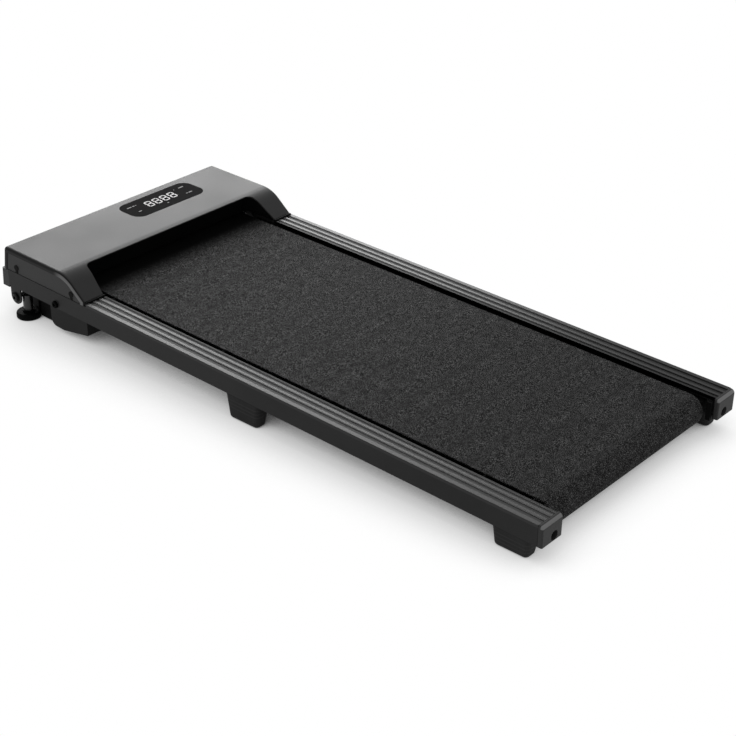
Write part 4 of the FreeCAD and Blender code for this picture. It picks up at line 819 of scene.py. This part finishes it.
KEYHOLES = ((571.0, 43.0), (417.0, 43.0))
KEYHOLE_RADIUS = 5.6
KEYHOLE_TAIL = 2.6
KEYHOLE_FOOT = 32.4
KEYHOLE_STEPS = 32
KEYHOLE_SHADE_FACES = (259.6, 260.25)
BOLT_SHADE_PLACE = (580.0, -18.7)
BOLT_SHADE_RADIUS = 9.6
BOLT_SHADE_SIDES = 40
BOLT_SHADE_FACES = (260.05, 260.9)


def keyhole(place):
    """Outline of a round head over a straight tail, as y and z."""
    half = math.asin(KEYHOLE_TAIL / KEYHOLE_RADIUS)
    head = arc(place, KEYHOLE_RADIUS, half - math.pi / 2, 2 * (math.pi - half), KEYHOLE_STEPS)
    tail = [(place[0] - KEYHOLE_TAIL, KEYHOLE_FOOT), (place[0] + KEYHOLE_TAIL, KEYHOLE_FOOT)]
    return head + tail


def add_keyhole_shade(work, sign):
    """A black sheet in each keyhole of a cheek, standing in for the shade in its pocket."""
    for place in KEYHOLES:
        add_plate(work, keyhole(place), *[sign * x for x in KEYHOLE_SHADE_FACES])


def add_bolt_shade(work, sign):
    """A black disc under the wheel bolt's head, standing in for the shade round it."""
    outline = circle(BOLT_SHADE_PLACE, BOLT_SHADE_RADIUS, BOLT_SHADE_SIDES)
    add_plate(work, outline, *[sign * x for x in BOLT_SHADE_FACES])


# Black pieces that the chassis carries on both sides, standing in for shade
BLACK_PIECES = (
    ("hood_seal_shade", add_seal_shade), ("under_shade_plate", add_under_shade), ("slit_shade", add_slit_shade),
    ("keyhole_shade", add_keyhole_shade), ("bolt_shade", add_bolt_shade),
)


def add_black_pieces(look):
    """Each black piece on the left and on the right."""
    for name, add in BLACK_PIECES:
        for side, sign in SIDES:
            def build(work):
                add(work, sign)

            mesh_object(side + "_" + name, build, "chassis", look)


# Studio

WHITE = (1.0, 1.0, 1.0, 1.0)
WORLD_LIGHT = 0.55
FLOOR_HALF = 9.0
FLOOR_COLOUR = (0.75, 0.75, 0.75, 1.0)
FLOOR_REACH = 0.3
FLOOR_SAMPLES = 16
# Tones of the floor by the share of sky it sees: white in the open, grey beside the object.
FLOOR_TONES = ((0.03, 0.0), (0.15, 0.30), (0.27, 0.52), (0.42, 0.60), (0.66, 0.81), (0.86, 1.0))
KEY_PLACE = Vector((1.47, 2.26, 1.13))
KEY_TARGET = Vector((0.0, 0.5, 0.1))
KEY_WIDTH = 2.6
KEY_HEIGHT = 1.0
KEY_POWER = 51.0


def show_backdrop(nodes, light, shown, output):
    """One shader for what is seen direct, in gloss and through glass, and another for diffuse light."""
    rays = nodes.node("ShaderNodeLightPath").outputs
    seen = nodes.arithmetic("MAXIMUM", rays["Is Camera Ray"], rays["Is Glossy Ray"])
    seen = nodes.arithmetic("MAXIMUM", seen, rays["Is Transmission Ray"])
    mix = nodes.node("ShaderNodeMixShader")
    nodes.link(seen, mix.inputs["Fac"])
    nodes.link(light, mix.inputs[1])
    nodes.link(shown, mix.inputs[2])
    nodes.link(mix.outputs["Shader"], nodes.tree.nodes[output].inputs["Surface"])


def add_world():
    """White to look at, and an even grey light."""
    world = bpy.data.worlds.new("studio")
    bpy.context.scene.world = world
    world.use_nodes = True
    nodes = Nodes(world.node_tree)
    light = nodes.tree.nodes["Background"]
    light.inputs["Color"].default_value = WHITE
    light.inputs["Strength"].default_value = WORLD_LIGHT
    shown = nodes.node("ShaderNodeBackground")
    shown.inputs["Color"].default_value = WHITE
    shown.inputs["Strength"].default_value = 1.0
    show_backdrop(nodes, light.outputs["Background"], shown.outputs["Background"], "World Output")


def floor_tone(nodes):
    """A wide soft shadow round the object."""
    sky = nodes.node("ShaderNodeAmbientOcclusion", samples=FLOOR_SAMPLES)
    sky.inputs["Distance"].default_value = FLOOR_REACH
    tones = nodes.node("ShaderNodeValToRGB")
    steps = tones.color_ramp.elements
    for _ in FLOOR_TONES[len(steps):]:
        steps.new(0.5)
    for step, (place, tone) in zip(steps, FLOOR_TONES):
        step.position = place
        step.color = (tone, tone, tone, 1.0)
    nodes.link(sky.outputs["AO"], tones.inputs["Fac"])
    return tones.outputs["Color"]


def floor_look():
    """A pale floor that shows white and keeps the object's soft shadow."""
    material = bpy.data.materials.new("floor")
    material.use_nodes = True
    nodes = Nodes(material.node_tree)
    nodes.tree.nodes.remove(nodes.tree.nodes["Principled BSDF"])
    light = nodes.node("ShaderNodeBsdfDiffuse")
    light.inputs["Color"].default_value = FLOOR_COLOUR
    shown = nodes.node("ShaderNodeEmission")
    nodes.link(floor_tone(nodes), shown.inputs["Color"])
    show_backdrop(nodes, light.outputs["BSDF"], shown.outputs["Emission"], "Material Output")
    return material


def add_floor():
    """The studio's floor."""
    work = bmesh.new()
    bmesh.ops.create_grid(work, x_segments=2, y_segments=2, size=FLOOR_HALF)
    mesh = bpy.data.meshes.new("floor")
    work.to_mesh(mesh)
    work.free()
    mesh.materials.append(floor_look())
    floor = bpy.data.objects.new("floor", mesh)
    bpy.context.scene.collection.objects.link(floor)


def add_key_light():
    """A flat soft light that faces the hood."""
    light = bpy.data.lights.new("key", "AREA")
    light.shape = "RECTANGLE"
    light.size = KEY_WIDTH
    light.size_y = KEY_HEIGHT
    light.energy = KEY_POWER
    lamp = bpy.data.objects.new("key", light)
    lamp.location = KEY_PLACE
    lamp.rotation_euler = (KEY_TARGET - KEY_PLACE).to_track_quat("-Z", "Y").to_euler()
    bpy.context.scene.collection.objects.link(lamp)


# Camera at the photograph's place

CAMERA_PLACE = Vector((-1.84294, -1.70806, 1.38956))
CAMERA_FORWARD = Vector((0.65076, 0.58376, -0.48552))
CAMERA_RIGHT = Vector((0.66523, -0.74661, -0.00603))
CAMERA_LENS = 80.34
CAMERA_SENSOR = 36.0
CAMERA_FAR = 60.0


def add_camera():
    """The camera, turned so that its right and its forward are as they were for the photograph."""
    data = bpy.data.cameras.new("camera")
    data.lens = CAMERA_LENS
    data.sensor_fit = "HORIZONTAL"
    data.sensor_width = CAMERA_SENSOR
    data.clip_end = CAMERA_FAR
    camera = bpy.data.objects.new("camera", data)
    forward = CAMERA_FORWARD.normalized()
    right = (CAMERA_RIGHT - forward * CAMERA_RIGHT.dot(forward)).normalized()
    up = right.cross(forward)
    turn = Matrix((right, up, -forward)).transposed()
    camera.matrix_world = Matrix.Translation(CAMERA_PLACE) @ turn.to_4x4()
    bpy.context.scene.collection.objects.link(camera)
    bpy.context.scene.camera = camera


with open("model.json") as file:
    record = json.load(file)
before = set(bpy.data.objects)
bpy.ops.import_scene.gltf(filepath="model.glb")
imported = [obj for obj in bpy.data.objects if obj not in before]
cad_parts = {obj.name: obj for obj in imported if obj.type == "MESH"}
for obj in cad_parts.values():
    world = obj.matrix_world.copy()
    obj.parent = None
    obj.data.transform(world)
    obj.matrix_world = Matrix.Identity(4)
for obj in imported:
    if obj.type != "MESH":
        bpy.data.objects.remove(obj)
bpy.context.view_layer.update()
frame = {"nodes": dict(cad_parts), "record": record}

looks = all_looks()
dress(frame, looks)
add_display(looks)
add_levellers(looks)
add_black_pieces(looks["guard_plastic"])

add_world()
add_floor()
add_key_light()
add_camera()
bpy.context.scene.view_settings.view_transform = "Standard"
